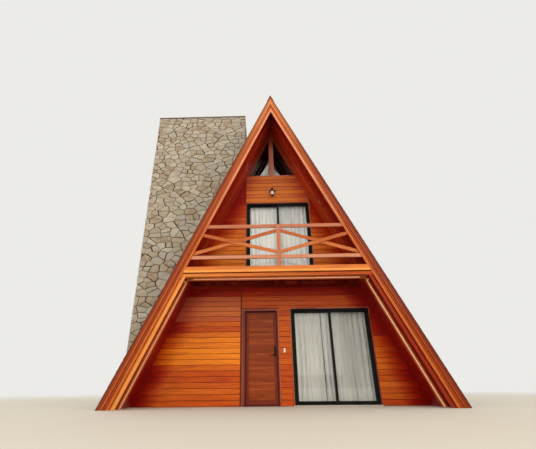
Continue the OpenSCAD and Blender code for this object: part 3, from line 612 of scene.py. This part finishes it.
def cloth_material(name, dark, pale):
    """Loosely woven curtain cloth: matt, a little light comes through. Its UVs are in metres."""
    material, add, surface = new_material(name)
    uv = add("TexCoord", out="UV")
    split = add("SeparateXYZ", [uv]).node.outputs
    turns = [add("MULTIPLY", [split[axis], 2 * math.pi / THREAD]) for axis in (X, Y)]
    weave = [add("SINE", [turn]) for turn in turns]
    height = add("MULTIPLY", weave)
    slub = add("TexNoise", {"Vector": uv, "Scale": SLUBS_PER_M, "Detail": 3.0})
    feed(surface, {
        "Base Color": add("ValToRGB", [slub], stops={0.3: dark, 0.7: pale}),
        "Roughness": 0.95, "Sheen Weight": 0.2,
        "Normal": add("Bump", {"Strength": 0.3, "Distance": 0.0003, "Height": height})})
    through = add("BsdfTranslucent", {"Color": rgb("#EDE9DE")})
    mixed = add("MixShader", [0.06, surface.outputs[0], through])
    show(surface, mixed)
    return material


shingles = shingle_material()
put_on(glass_material("clear float glass", 0.5), "patio_glass_left", "patio_glass_right")
# The upper panes have a coating that takes most of their reflection away
put_on(glass_material("coated float glass", 0.1), "window_glass")
# Bright white curtains upstairs, and greyer ones behind the sliding door
upper_cloth = cloth_material("white curtain cloth", "#FAF8F4", "#FFFFFF")
patio_cloth = cloth_material("pale grey curtain cloth", "#DBD9D4", "#EAE8E4")


# Boarded walls

WIDE = 4.0  # further out than either slope
TOUCH = 1e-5
JOINT_STRIP = 0.03
HEAD_GAP = 0.004
REAR_WINDOW_H = 1.0


def board_field(name, x0, x1, z0, z1, wall_y, outward):
    """Boards laid on a wall between two sides and two heights, on one common spacing."""
    first = math.floor(z0 / BOARD_PITCH)
    count = math.ceil(z1 / BOARD_PITCH) - first
    low = first * BOARD_PITCH + BOARD_JOINT / 2
    high = (first + 1) * BOARD_PITCH - BOARD_JOINT / 2
    face = wall_y + outward * BOARD_PROUD
    back = wall_y - outward * BOARD_IN
    field = block(name, (x0, min(face, back), low), (x1, max(face, back), high))
    edit(field, "DESELECT")
    leave()
    for vertex in field.data.vertices:
        vertex.select = abs(vertex.co.y - face) < TOUCH
    bpy.ops.object.mode_set(mode="EDIT")
    bpy.ops.mesh.bevel(offset=BOARD_EDGE, segments=2, profile=0.5)
    leave()
    row_of(field, count, (0, 0, BOARD_PITCH))
    cut_off(field, (0, 0, z1), (0, 0, 1))
    cut_off(field, (0, 0, z0), (0, 0, -1))
    return field


def cut_to_slope(field, depth):
    """Cuts boards to both slopes at a depth."""
    for side in (-1, 1):
        cut_off(field, (side * foot_at(depth), 0, 0), outward_of(side))


def stain_and_shade_by_height(profile, spread):
    """Tones of a field's boards: a profile of tones by height, with painted shade under the balcony and the
    roof, and each board's own part.
    """
    points = list(profile.items())

    def tone_of(index, value):
        height = (index + 0.5) * BOARD_PITCH
        tone = points[0][1]
        for (low, low_tone), (high, high_tone) in zip(points, points[1:]):
            if height > low:
                tone = low_tone + (high_tone - low_tone) * min(1.0, (height - low) / (high - low))
        return max(0.0, tone + spread * (value - 0.5))

    return tone_of


def clad(name, fields, wall_y, outward, depth, seed, material=wall_boards):
    """One clad wall from several fields: their limits, their tones and the tones' spread."""
    made = [board_field(f"{name}_{i}", *field[:4], wall_y, outward) for i, field in enumerate(fields)]
    for i, (piece, field) in enumerate(zip(made, fields)):
        tone_by_board(piece, lambda centre: math.floor(centre.z / BOARD_PITCH), seed + i,
                      stain_and_shade_by_height(*field[4:]))
        # Marks the faces of the front that get the painted sky reflection
        face_values(piece, "painted_sheen", lambda centre: float(outward < 0 and any(
            x0 < centre.x < x1 and z0 < centre.z < z1 for x0, x1, z0, z1 in PAINTED_SHEEN_AREAS)))
    wall = join(name, made)
    cut_to_slope(wall, depth)
    dress(wall, material, "cabin")


# Where a painted sky reflection dulls the front's boards: just under the balcony on the left, and over the
# upper door
PAINTED_SHEEN_AREAS = [(-WIDE, FRAME_LOW.x, 1.9, 2.44), (UPPER_LOW.x - 1.0, UPPER_HIGH.x + 1.0, UPPER_HIGH.z, GABLE_Z)]
# Tone of the boards by height: their stain, with painted shade that darkens them under the balcony and under
# the roof
LEFT_PORCH = {0.0: 0.5, 0.5: 0.56, 0.62: 0.34, 0.76: 0.6, 0.9: 0.9, 1.5: 0.94, 1.68: 0.4, 1.86: 0.62,
              2.4: 0.5, 2.6: 0.18}
DOOR_PIER = {0.0: 0.46, 1.0: 0.5, 1.4: 0.56, 2.1: 0.5}
PORCH_HEAD = {2.2: 0.46, 2.42: 0.44, 2.52: 0.22, 2.7: 0.12}
RIGHT_PORCH = {0.0: 0.48, 0.7: 0.6, 1.2: 0.72, 1.5: 0.62, 2.1: 0.3}
LEFT_STOREY = {2.9: 0.88, 3.5: 1.06, 4.0: 1.02, 4.4: 0.78, 5.0: 0.66, 6.0: 0.6}
RIGHT_STOREY = {2.9: 0.94, 4.0: 1.06, 4.4: 0.9, 5.2: 0.82, 6.0: 0.7}
DOOR_HEAD = {5.1: 0.98, 5.5: 0.92, 6.0: 0.8}
REAR_WALL = {0.0: 0.5, 1.3: 0.75, 2.7: 0.3, 3.9: 0.8, 6.0: 0.45}

patio_head = PATIO_HIGH.z + TRIM_W
clad("front_boards_lower", [
    (-WIDE, FRAME_LOW.x - JOINT_STRIP - BOARD_JOINT, 0.0, LOWER_TOP, LEFT_PORCH, 0.22),
    (FRAME_HIGH.x, PATIO_LOW.x - TRIM_W, 0.0, patio_head, DOOR_PIER, 0.1),
    (FRAME_LOW.x - JOINT_STRIP / 2, WIDE, patio_head + HEAD_GAP, LOWER_TOP, PORCH_HEAD, 0.1),
    (PATIO_HIGH.x + TRIM_W, WIDE, 0.0, patio_head, RIGHT_PORCH, 0.22),
], WALL_Y, -1, PORCH_DEPTH, 11)

upper_left, upper_right = UPPER_LOW.x - TRIM_W, UPPER_HIGH.x + TRIM_W
upper_head = UPPER_HIGH.z + TRIM_W
clad("front_boards_upper", [
    (-WIDE, upper_left, FLOOR_Z, GABLE_Z, LEFT_STOREY, 0.16),
    (upper_left, upper_right, upper_head, GABLE_Z, DOOR_HEAD, 0.42),
    (upper_right, WIDE, FLOOR_Z, GABLE_Z, RIGHT_STOREY, 0.16),
], WALL_Y, -1, STOREY_DEPTH, 23, storey_boards)

# Rear wall: boards round the two windows
side_x = REAR_WINDOW_HIGH.x + TRIM_W
rear_fields = []
for low, sill, top in ((0.0, REAR_WINDOW_LOW.z, LOWER_TOP),
                       (LOWER_TOP, REAR_WINDOW_HIGH.z - REAR_WINDOW_H, GABLE_Z)):
    head = sill + REAR_WINDOW_H + TRIM_W
    for limits in ((-WIDE, -side_x, sill, head), (side_x, WIDE, sill, head),
                   (-WIDE, WIDE, low, sill), (-WIDE, WIDE, head, top)):
        rear_fields.append((*limits, REAR_WALL, 0.2))
clad("rear_boards", rear_fields, REAR_Y, 1, REAR_DEPTH, 37)


# Upright strips: one left of the front door up to the soffit, two from the upper door to the slopes

STRIP_PROUD = 0.022
STRIP_OVER = 0.012
STRIP_BESIDE = 0.016
STRIP_EDGE = 0.003

strips = [block("strip_lower", (FRAME_LOW.x - JOINT_STRIP, WALL_Y - STRIP_PROUD, 0),
                (FRAME_LOW.x - JOINT_STRIP / 3, WALL_Y, LOWER_TOP))]
for name, edge, side in (("left", upper_left, -1), ("right", upper_right, 1)):
    x0, x1 = sorted((edge - side * STRIP_OVER, edge + side * STRIP_BESIDE))
    top = max(height_at(x0, STOREY_DEPTH), height_at(x1, STOREY_DEPTH))
    strip = block(f"strip_upper_{name}", (x0, WALL_Y - STRIP_PROUD, upper_head), (x1, WALL_Y, top))
    cut_to_slope(strip, STOREY_DEPTH)
    strips.append(strip)
for strip in strips:
    modify(strip, "BEVEL", width=STRIP_EDGE, segments=2)
dress(join("upright_strips", strips), strip_timber, "cabin")


# Front door: boards inside the sunk panel, on both faces

DOOR_STILE = 0.095
PANEL_SUNK = 0.007
DOOR_BOARD = 0.062
DOOR_SKIN = 0.004
DOOR_JOINT = 0.004

panel_low, panel_high = LEAF_LOW.z + DOOR_STILE, LEAF_HIGH.z - DOOR_STILE
door_count = int((panel_high - panel_low) / DOOR_BOARD)
door_pitch = (panel_high - panel_low) / door_count
skins = []
for face_y, outward in ((LEAF_LOW.y, -1), (LEAF_HIGH.y, 1)):
    panel_y = face_y - outward * PANEL_SUNK
    y0, y1 = sorted((panel_y, panel_y + outward * DOOR_SKIN))
    skin = block("door_skin", (LEAF_LOW.x + DOOR_STILE, y0, panel_low + DOOR_JOINT),
                 (LEAF_HIGH.x - DOOR_STILE, y1, panel_low + door_pitch - DOOR_JOINT))
    row_of(skin, door_count, (0, 0, door_pitch))
    # The door's boards keep to the middle of their tones
    tone_by_board(skin, lambda centre: math.floor((centre.z - panel_low) / door_pitch), 5,
                  lambda index, value: 0.3 + 0.4 * value)
    skins.append(skin)
dress(join("door_boards", skins), door_timber, "door")


# Stone tower

# Usual size of a stone, and how much longer than high its space is drawn
STONE_W = 0.225
STONE_H = 0.14
STONE_LENGTHENED = 1.45
STONE_MIN = 0.05
# Share of the places that hold a stone, and how far a stone strays from its place, in stones
STONE_SHARE = 0.84
STRAY_ACROSS = (0.05, 0.95)
STRAY_UP = (-0.42, 0.42)
# Narrowest and widest joint, and how often it changes in a metre
STONE_JOINTS = (0.003, 0.024)
JOINT_CHANGES = 7
# Relief of a stone, its shoulder, and how far below the roof's line stones still start
STONE_PROUD = 0.02
STONE_SHOULDER = 0.009
STONE_COVERED = 0.12
# Uneven outlines: length between two points, how far they wander, and how near a wall's edge they stop
OUTLINE_STEP = 0.045
OUTLINE_WANDER = 0.016
OUTLINE_CHANGES = 9
OUTLINE_STILL = 0.05


def clip(outline, point, normal):
    """The part of a convex outline that lies behind a line."""
    kept = []
    for a, b in zip(outline, outline[1:] + outline[:1]):
        side_a, side_b = (a - point).dot(normal), (b - point).dot(normal)
        if side_a <= 0:
            kept.append(a)
        if side_a * side_b < 0:
            kept.append(a.lerp(b, side_a / (side_a - side_b)))
    return kept


def spread_of(outline):
    """The lesser of an outline's width and height."""
    return min(max(p[axis] for p in outline) - min(p[axis] for p in outline) for axis in (X, Y))


def nearest_space(place, places, outline, seed):
    """What is left of an outline after a cut halfway to each neighbour of a place."""
    i, j = place
    centre = places[place]
    for across in range(-3, 4):
        for up in range(-3, 4):
            other = places.get((i + across, j + up))
            if other is None or other is centre:
                continue
            apart, middle = other - centre, (centre + other) / 2
            change = noise.noise(Vector((middle.x * JOINT_CHANGES, middle.y * JOINT_CHANGES, seed)))
            share = min(1.0, max(0.0, 0.5 + change))
            joint = STONE_JOINTS[0] + (STONE_JOINTS[1] - STONE_JOINTS[0]) * share
            outline = clip(outline, middle - apart.normalized() * joint / 2, apart)
            if not outline:
                return outline
    return outline


def stone_outlines(width, height, seed):
    """Irregular stones that fill a wall: the space nearest to each of many scattered points."""
    draw = random.Random(seed)
    places = {}
    for i in range(-2, math.ceil(width / STONE_W) + 2):
        for j in range(-2, math.ceil(height / STONE_H) + 2):
            if draw.random() < STONE_SHARE:
                across = (i + 0.5 * (j % 2) + draw.uniform(*STRAY_ACROSS)) * STONE_W / STONE_LENGTHENED
                up = (j + 0.5 + draw.uniform(*STRAY_UP)) * STONE_H
                places[i, j] = Vector((across, up))
    short_w = width / STONE_LENGTHENED
    wall = [Vector(corner) for corner in ((0, 0), (short_w, 0), (short_w, height), (0, height))]
    outlines = []
    for place in places:
        outline = nearest_space(place, places, wall, seed)
        if len(outline) > 2 and spread_of(outline) > STONE_MIN:
            outlines.append([Vector((point.x * STONE_LENGTHENED, point.y)) for point in outline])
    return outlines


def roughen(outline, width, height):
    """Adds points along an outline and moves them about, the same way for both neighbours."""
    rough = []
    for a, b in zip(outline, outline[1:] + outline[:1]):
        parts = max(1, round((b - a).length / OUTLINE_STEP))
        for i in range(parts):
            point = a.lerp(b, i / parts)
            move = noise.noise_vector(Vector((point.x * OUTLINE_CHANGES, point.y * OUTLINE_CHANGES, width)))
            edge = max(0.0, min(point.x, width - point.x, point.y, height - point.y))
            rough.append(point + Vector(move[:2]) * OUTLINE_WANDER * min(1.0, edge / OUTLINE_STILL))
    return rough


def stone_face(name, origin, right, width, seed, from_ground=False):
    """Stones on one face of the tower, above the roof or from the ground."""
    origin, right = Vector(origin), Vector(right)
    height = TOWER_HIGH.z
    outlines = []
    for outline in stone_outlines(width, height, seed):
        middle = sum(point.x for point in outline) / len(outline)
        hidden = 0.0 if from_ground else height_at(origin.x + right.x * middle, 0) - STONE_COVERED
        if max(point.y for point in outline) > hidden:
            outlines.append(roughen(outline, width, height))
    deselect()
    for i, outline in enumerate(outlines):
        bpy.ops.mesh.primitive_circle_add(vertices=len(outline), radius=STONE_W / 2, fill_type="NGON")
        if i == 0:
            stones = bpy.context.object
            stones.name = f"stones_{name}"
            bpy.ops.object.mode_set(mode="EDIT")
    leave()
    points = [origin + right * p.x + UP * p.y for outline in outlines for p in outline]
    for vertex, point in zip(stones.data.vertices, points):
        vertex.co = point
    draw = random.Random(seed + 1)
    face_values(stones, "tone", lambda centre: draw.random())
    edit(stones)
    bpy.ops.mesh.select_mode(type="FACE")
    bpy.ops.mesh.extrude_region_move(TRANSFORM_OT_translate={"value": right.cross(UP) * STONE_PROUD})
    bpy.ops.mesh.inset(thickness=STONE_SHOULDER, depth=STONE_SHOULDER / 2, use_individual=True,
                       use_even_offset=False)
    bpy.ops.mesh.poke(offset=STONE_SHOULDER / 2)
    leave()
    dress(stones, field_stone, "cabin")


# The front and rear stones cover the ends of those at the sides
front_w = TOWER_HIGH.x - TOWER_LOW.x + 2 * STONE_PROUD
side_w = TOWER_HIGH.y - TOWER_LOW.y
stone_face("front", (TOWER_LOW.x - STONE_PROUD, TOWER_LOW.y, 0), (1, 0, 0), front_w, 3)
stone_face("right", (TOWER_HIGH.x, TOWER_LOW.y, 0), (0, 1, 0), side_w, 4)
stone_face("rear", (TOWER_HIGH.x + STONE_PROUD, TOWER_HIGH.y, 0), (-1, 0, 0), front_w, 5)
stone_face("left", (TOWER_LOW.x, TOWER_HIGH.y, 0), (0, -1, 0), side_w, 6, from_ground=True)


# Shingles

# Width, gap, thickness and exposed height of a tab, its length in courses, and how far it tucks under
TAB_W = 0.333
TAB_GAP = 0.002
TAB_T = 0.005
COURSE = 0.145
TAB_LAP = 1.15
TAB_TUCK = 0.9


def shingle_field(name, y0, y1, s0, side, seed):
    """Rows of tabs on one slope, between two places along the ridge and from one place up the slope."""
    rows = []
    for odd in (0, 1):
        start = y0 - 0.5 * TAB_W * odd
        low = s0 + odd * COURSE
        tab = block(f"{name}_{odd}", (start + TAB_GAP, 0, low),
                    (start + TAB_W - TAB_GAP, TAB_T, low + COURSE * TAB_LAP))
        for vertex in tab.data.vertices:
            if vertex.co.z > low + COURSE:
                vertex.co.y -= TAB_T * TAB_TUCK
        row_of(tab, math.ceil((y1 - start) / TAB_W), (TAB_W, 0, 0))
        row_of(tab, math.ceil((SLOPE_LENGTH - low) / (2 * COURSE)), (0, 0, 2 * COURSE))
        rows.append(tab)
    field = join(name, rows)
    cut_off(field, (y0, 0, 0), (-1, 0, 0))
    cut_off(field, (y1, 0, 0), (1, 0, 0))
    cut_off(field, (0, 0, SLOPE_LENGTH), (0, 0, 1))
    tone_by_board(field, lambda c: (math.floor(c.z / COURSE), math.floor(c.x / TAB_W * 2)), seed)
    # From (along the ridge, out of the roof, up the slope) to the cabin's own axes
    foot = Vector((side * ROOF_HALF, 0, 0))
    for vertex in field.data.vertices:
        along, proud, height = vertex.co
        vertex.co = foot + Vector((0, along, 0)) + outward_of(side) * proud + upslope_of(side) * height
    if side > 0:
        edit(field)
        bpy.ops.mesh.flip_normals()
        leave()
    cut_off(field, (0, 0, 0), (0, 0, -1))
    return field


over_tower = (ROOF_HALF - abs(TOWER_HIGH.x)) / math.sin(HALF_ANGLE)
left_parts = [(COVER_LOW.y, TOWER_LOW.y, 0.0), (TOWER_LOW.y, TOWER_HIGH.y, over_tower),
              (TOWER_HIGH.y, COVER_HIGH.y, 0.0)]
right_slope = shingle_field("shingles_right", COVER_LOW.y, COVER_HIGH.y, 0.0, 1, 51)
left_slope = join("shingles_left", [shingle_field(f"shingles_left_{i}", *part, -1, 52 + i)
                                    for i, part in enumerate(left_parts)])
for slope in (right_slope, left_slope):
    dress(slope, shingles, "cabin")


# Ridge: short bent caps, each one over the next

CAP_STEP = 0.2
CAP_LAP = 1.1
CAP_LEG = 0.205
CAP_T = 0.006

cap_legs = []
for side in (-1, 1):
    leg = block("cap_leg", (0, RIDGE_LOW.y, 0), (CAP_LEG, RIDGE_LOW.y + CAP_STEP * CAP_LAP, CAP_T))
    for vertex in leg.data.vertices:
        run, along, thick = vertex.co
        thick += CAP_T * (along - RIDGE_LOW.y) / CAP_STEP
        vertex.co = Vector((0, along, RIDGE_HIGH.z)) - upslope_of(side) * run + outward_of(side) * thick
        if run < CAP_LEG / 2:
            vertex.co.x = 0
            vertex.co.z = RIDGE_HIGH.z + thick / math.sin(HALF_ANGLE)
    cap_legs.append(leg)
ridge_caps = join("ridge_caps", cap_legs)
edit(ridge_caps)
bpy.ops.mesh.normals_make_consistent(inside=False)
leave()
row_of(ridge_caps, math.ceil((RIDGE_HIGH.y - RIDGE_LOW.y) / CAP_STEP), (0, CAP_STEP, 0))
cut_off(ridge_caps, (0, RIDGE_HIGH.y, 0), (0, 1, 0))
tone_by_board(ridge_caps, lambda c: (math.floor((c.y - RIDGE_LOW.y) / CAP_STEP), c.x > 0), 61)
dress(ridge_caps, shingles, "cabin")


# Curtains

HANG_Y = (HANG_LOW.y + HANG_HIGH.y) / 2
CLOTH_COLUMNS = 150
CLOTH_ROWS = 30
CLOTH_GAP = 0.03
TRACK_GAP = 0.0003
# Spacing of the folds, their depth at the heading, what they gain below it, and their sway
FOLD_PITCH = 0.115
FOLD_DEPTH = 0.014
FOLD_GAIN = 0.020
FOLD_SWAY = 0.006
# Gap beside the gable's post, and the least share of its width that a drawn curtain keeps
POST_GAP = 0.01
LEAST_SHARE = 0.1


def curtain(name, x0, x1, z0, z1, folds, seed, material, crowd=1.0, post_side=0):
    """One gathered curtain: folds that are even at the heading and loosen on the way down.

    With crowd above 1 the folds stand closer towards the right-hand side.
    post_side draws it together towards its top, to the left (-1) or the right (1) of a middle post.
    """
    width, height = x1 - x0, z1 - z0
    deselect()
    bpy.ops.mesh.primitive_grid_add(x_subdivisions=CLOTH_COLUMNS, y_subdivisions=CLOTH_ROWS, size=1,
                                    location=((x0 + x1) / 2, HANG_Y, (z0 + z1) / 2),
                                    rotation=(math.pi / 2, 0, 0))
    cloth = bpy.context.object
    cloth.name = name
    cloth.scale = (width, height, 1)
    settle(cloth)
    for vertex in cloth.data.vertices:
        u = (vertex.co.x - x0) / width
        down = (z1 - vertex.co.z) / height
        # Folds wander more towards the hem, and one is deeper than the next
        wander = noise.noise(Vector((u * 4, down * 0.9, seed))) * (0.7 + 1.3 * down)
        swell = 0.85 + 1.2 * noise.noise(Vector((u * 5, down * 0.6, seed + 9)))
        phase = 2 * math.pi * folds * max(0.0, u) ** crowd
        depth = (FOLD_DEPTH + FOLD_GAIN * min(1.0, down * 3)) * swell
        vertex.co.y += depth * math.sin(phase + wander * 3)
        vertex.co.x += FOLD_SWAY * math.sin(2 * phase + wander * 2) * down
        if post_side:
            share = max(LEAST_SHARE, 1 - (vertex.co.z - z0) / height)
            vertex.co.x = post_side * (POST_GAP + vertex.co.x * share)
    # UVs in metres along the cloth; the flat width is the folded line's own length
    points = cloth.data.vertices
    step = CLOTH_COLUMNS + 1
    middle = (CLOTH_ROWS // 2) * step
    lengths = [0.0]
    for i in range(middle + 1, middle + step):
        lengths.append(lengths[-1] + (points[i].co - points[i - 1].co).length)
    uv = cloth.data.uv_layers.active
    for loop in cloth.data.loops:
        uv.data[loop.index].uv = (lengths[loop.vertex_index % step], points[loop.vertex_index].co.z)
    pick(cloth)
    bpy.ops.object.shade_smooth()
    return dress(cloth, material, "cabin")


# Each pair's opening and floor, where in the width the two meet, the left one's crowd, and their cloth
PAIRS = {"patio": (PATIO_LOW, PATIO_HIGH, GROUND_Z, 0.39, 1.6, patio_cloth),
         "upper": (UPPER_LOW, UPPER_HIGH, FLOOR_Z, 0.5, 1.0, upper_cloth)}
for pair, (low, high, floor_z, share, left_crowd, material) in PAIRS.items():
    middle = low.x + (high.x - low.x) * share
    for side, x0, x1, crowd in (("left", low.x + CLOTH_GAP, middle - CLOTH_GAP / 3, left_crowd),
                                ("right", middle + CLOTH_GAP / 3, high.x - CLOTH_GAP, 1.0)):
        folds = round((x1 - x0) / FOLD_PITCH)
        curtain(f"curtain_{pair}_{side}", x0, x1, floor_z + CLOTH_GAP,
                            high.z + TRIM_W - TRACK_GAP, folds, folds + x0, material, crowd)
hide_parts("curtains")

# Small curtains drawn back to the gable window's middle post: side, width at the sill and height
GABLE_CURTAINS = {"left": (-1, 0.40, 0.66), "right": (1, 0.32, 0.34)}
GABLE_RAIL = 0.036
GABLE_SILL = GABLE_Z + GABLE_RAIL
GABLE_FOLDS = 4
for name, (side, foot_w, tall) in GABLE_CURTAINS.items():
    curtain(f"curtain_gable_{name}", 0.0, foot_w, GABLE_SILL, GABLE_SILL + tall, GABLE_FOLDS, 3 + side,
            upper_cloth, post_side=side)


# Stage, light and camera

STUDIO_PALE = "#F7F6F3"
FLOOR_DOWN = 0.002
FLOOR_W = 300
# The floor turns into the pale distance between these two, from the cabin's middle
FLOOR_FADE = (7.0, 24.0)
# Reflections are dark at eye level and bright above it, as under an open sky: between two heights of
# the view they lose less and less of the full light
SKY_RISE = (0.15, 0.5)
SKY_LESS = (-0.92, -0.25)
LAMP_TARGET = Vector((0, 0, 3.0))
LAMP_DISTANCE = 24
LAMP_SIZE = 12

deselect()
bpy.ops.mesh.primitive_plane_add(size=FLOOR_W, location=(0, 0, -FLOOR_DOWN))
floor = bpy.context.object
floor.name = "studio_floor"
settle(floor)
floor_paint, add, surface = new_material("pale studio floor")
feed(surface, {"Base Color": rgb("#CFC8BA"), "Roughness": 0.9, "Specular IOR Level": 0.1})
reach = add("VectorMath", [add("TexCoord", out="Object")], out="Value", operation="LENGTH")
away = add("MapRange", [reach, *FLOOR_FADE], interpolation_type="SMOOTHSTEP")
glow = add("Emission", {"Color": rgb(STUDIO_PALE), "Strength": 0.9})
show(surface, add("MixShader", [away, surface.outputs[0], glow]))
floor.data.materials.append(floor_paint)

world = bpy.data.worlds.new("pale studio")
world.use_nodes = True
bpy.context.scene.world = world
add = partial(add_node, world.node_tree)
rays = add("LightPath").node.outputs
seen = add("MAXIMUM", [rays["Is Camera Ray"], rays["Is Transmission Ray"]])
direct = add("MULTIPLY_ADD", [seen, -0.1, 1.0])
aim = add("SeparateXYZ", [add("TexCoord", out="Generated")], out=Z)
mirrored = add("MapRange", [aim, *SKY_RISE, *SKY_LESS])
strength = add("MULTIPLY_ADD", [rays["Is Glossy Ray"], mirrored, direct])
feed(world.node_tree.nodes["Background"], {"Color": rgb(STUDIO_PALE), "Strength": strength})


def lamp(name, azimuth, elevation, power, tint, in_gloss=True):
    """A square soft light, aimed at the middle of the cabin; in_gloss says if gloss shows it."""
    turn, rise = math.radians(azimuth), math.radians(elevation)
    away = Vector((math.sin(turn) * math.cos(rise), -math.cos(turn) * math.cos(rise), math.sin(rise)))
    light = bpy.data.lights.new(name, "AREA")
    light.size = LAMP_SIZE
    light.energy = power
    light.color = rgb(tint)[:3]
    holder = bpy.data.objects.new(name, light)
    holder.visible_glossy = in_gloss
    holder.location = LAMP_TARGET + away * LAMP_DISTANCE
    holder.rotation_euler = (-away).to_track_quat("-Z", "Y").to_euler()
    bpy.context.scene.collection.objects.link(holder)


lamp("key light", 38, 25, 1350, "#FFF4E4")
lamp("left fill", -38, 22, 700, "#FFF8F0", in_gloss=False)
lamp("front fill", 0, 10, 950, "#FFF9F0", in_gloss=False)
lamp("rear fill", 205, 40, 1300, "#F4F7FF")

camera = bpy.data.objects.new("camera", bpy.data.cameras.new("camera"))
camera.data.sensor_width = SENSOR_MM
camera.data.lens = FOCAL_PX / IMAGE_W * SENSOR_MM
camera.data.shift_x = (IMAGE_MIDDLE[0] - CENTRE_PX[0]) / IMAGE_W
camera.data.shift_y = (CENTRE_PX[1] - IMAGE_MIDDLE[1]) / IMAGE_W
camera.data.clip_end = 500
forward = Vector((math.sin(CAMERA_YAW) * math.cos(CAMERA_PITCH),
                  math.cos(CAMERA_YAW) * math.cos(CAMERA_PITCH), math.sin(CAMERA_PITCH)))
level_right = Vector((math.cos(CAMERA_YAW), -math.sin(CAMERA_YAW), 0))
right = level_right * math.cos(CAMERA_ROLL) + level_right.cross(forward) * math.sin(CAMERA_ROLL)
up = right.cross(forward)
placed = Matrix((right, up, -forward)).transposed().to_4x4()
placed.translation = CAMERA_AT
camera.matrix_world = placed
bpy.context.scene.collection.objects.link(camera)
bpy.context.scene.camera = camera

bpy.context.scene.view_settings.view_transform = "Standard"
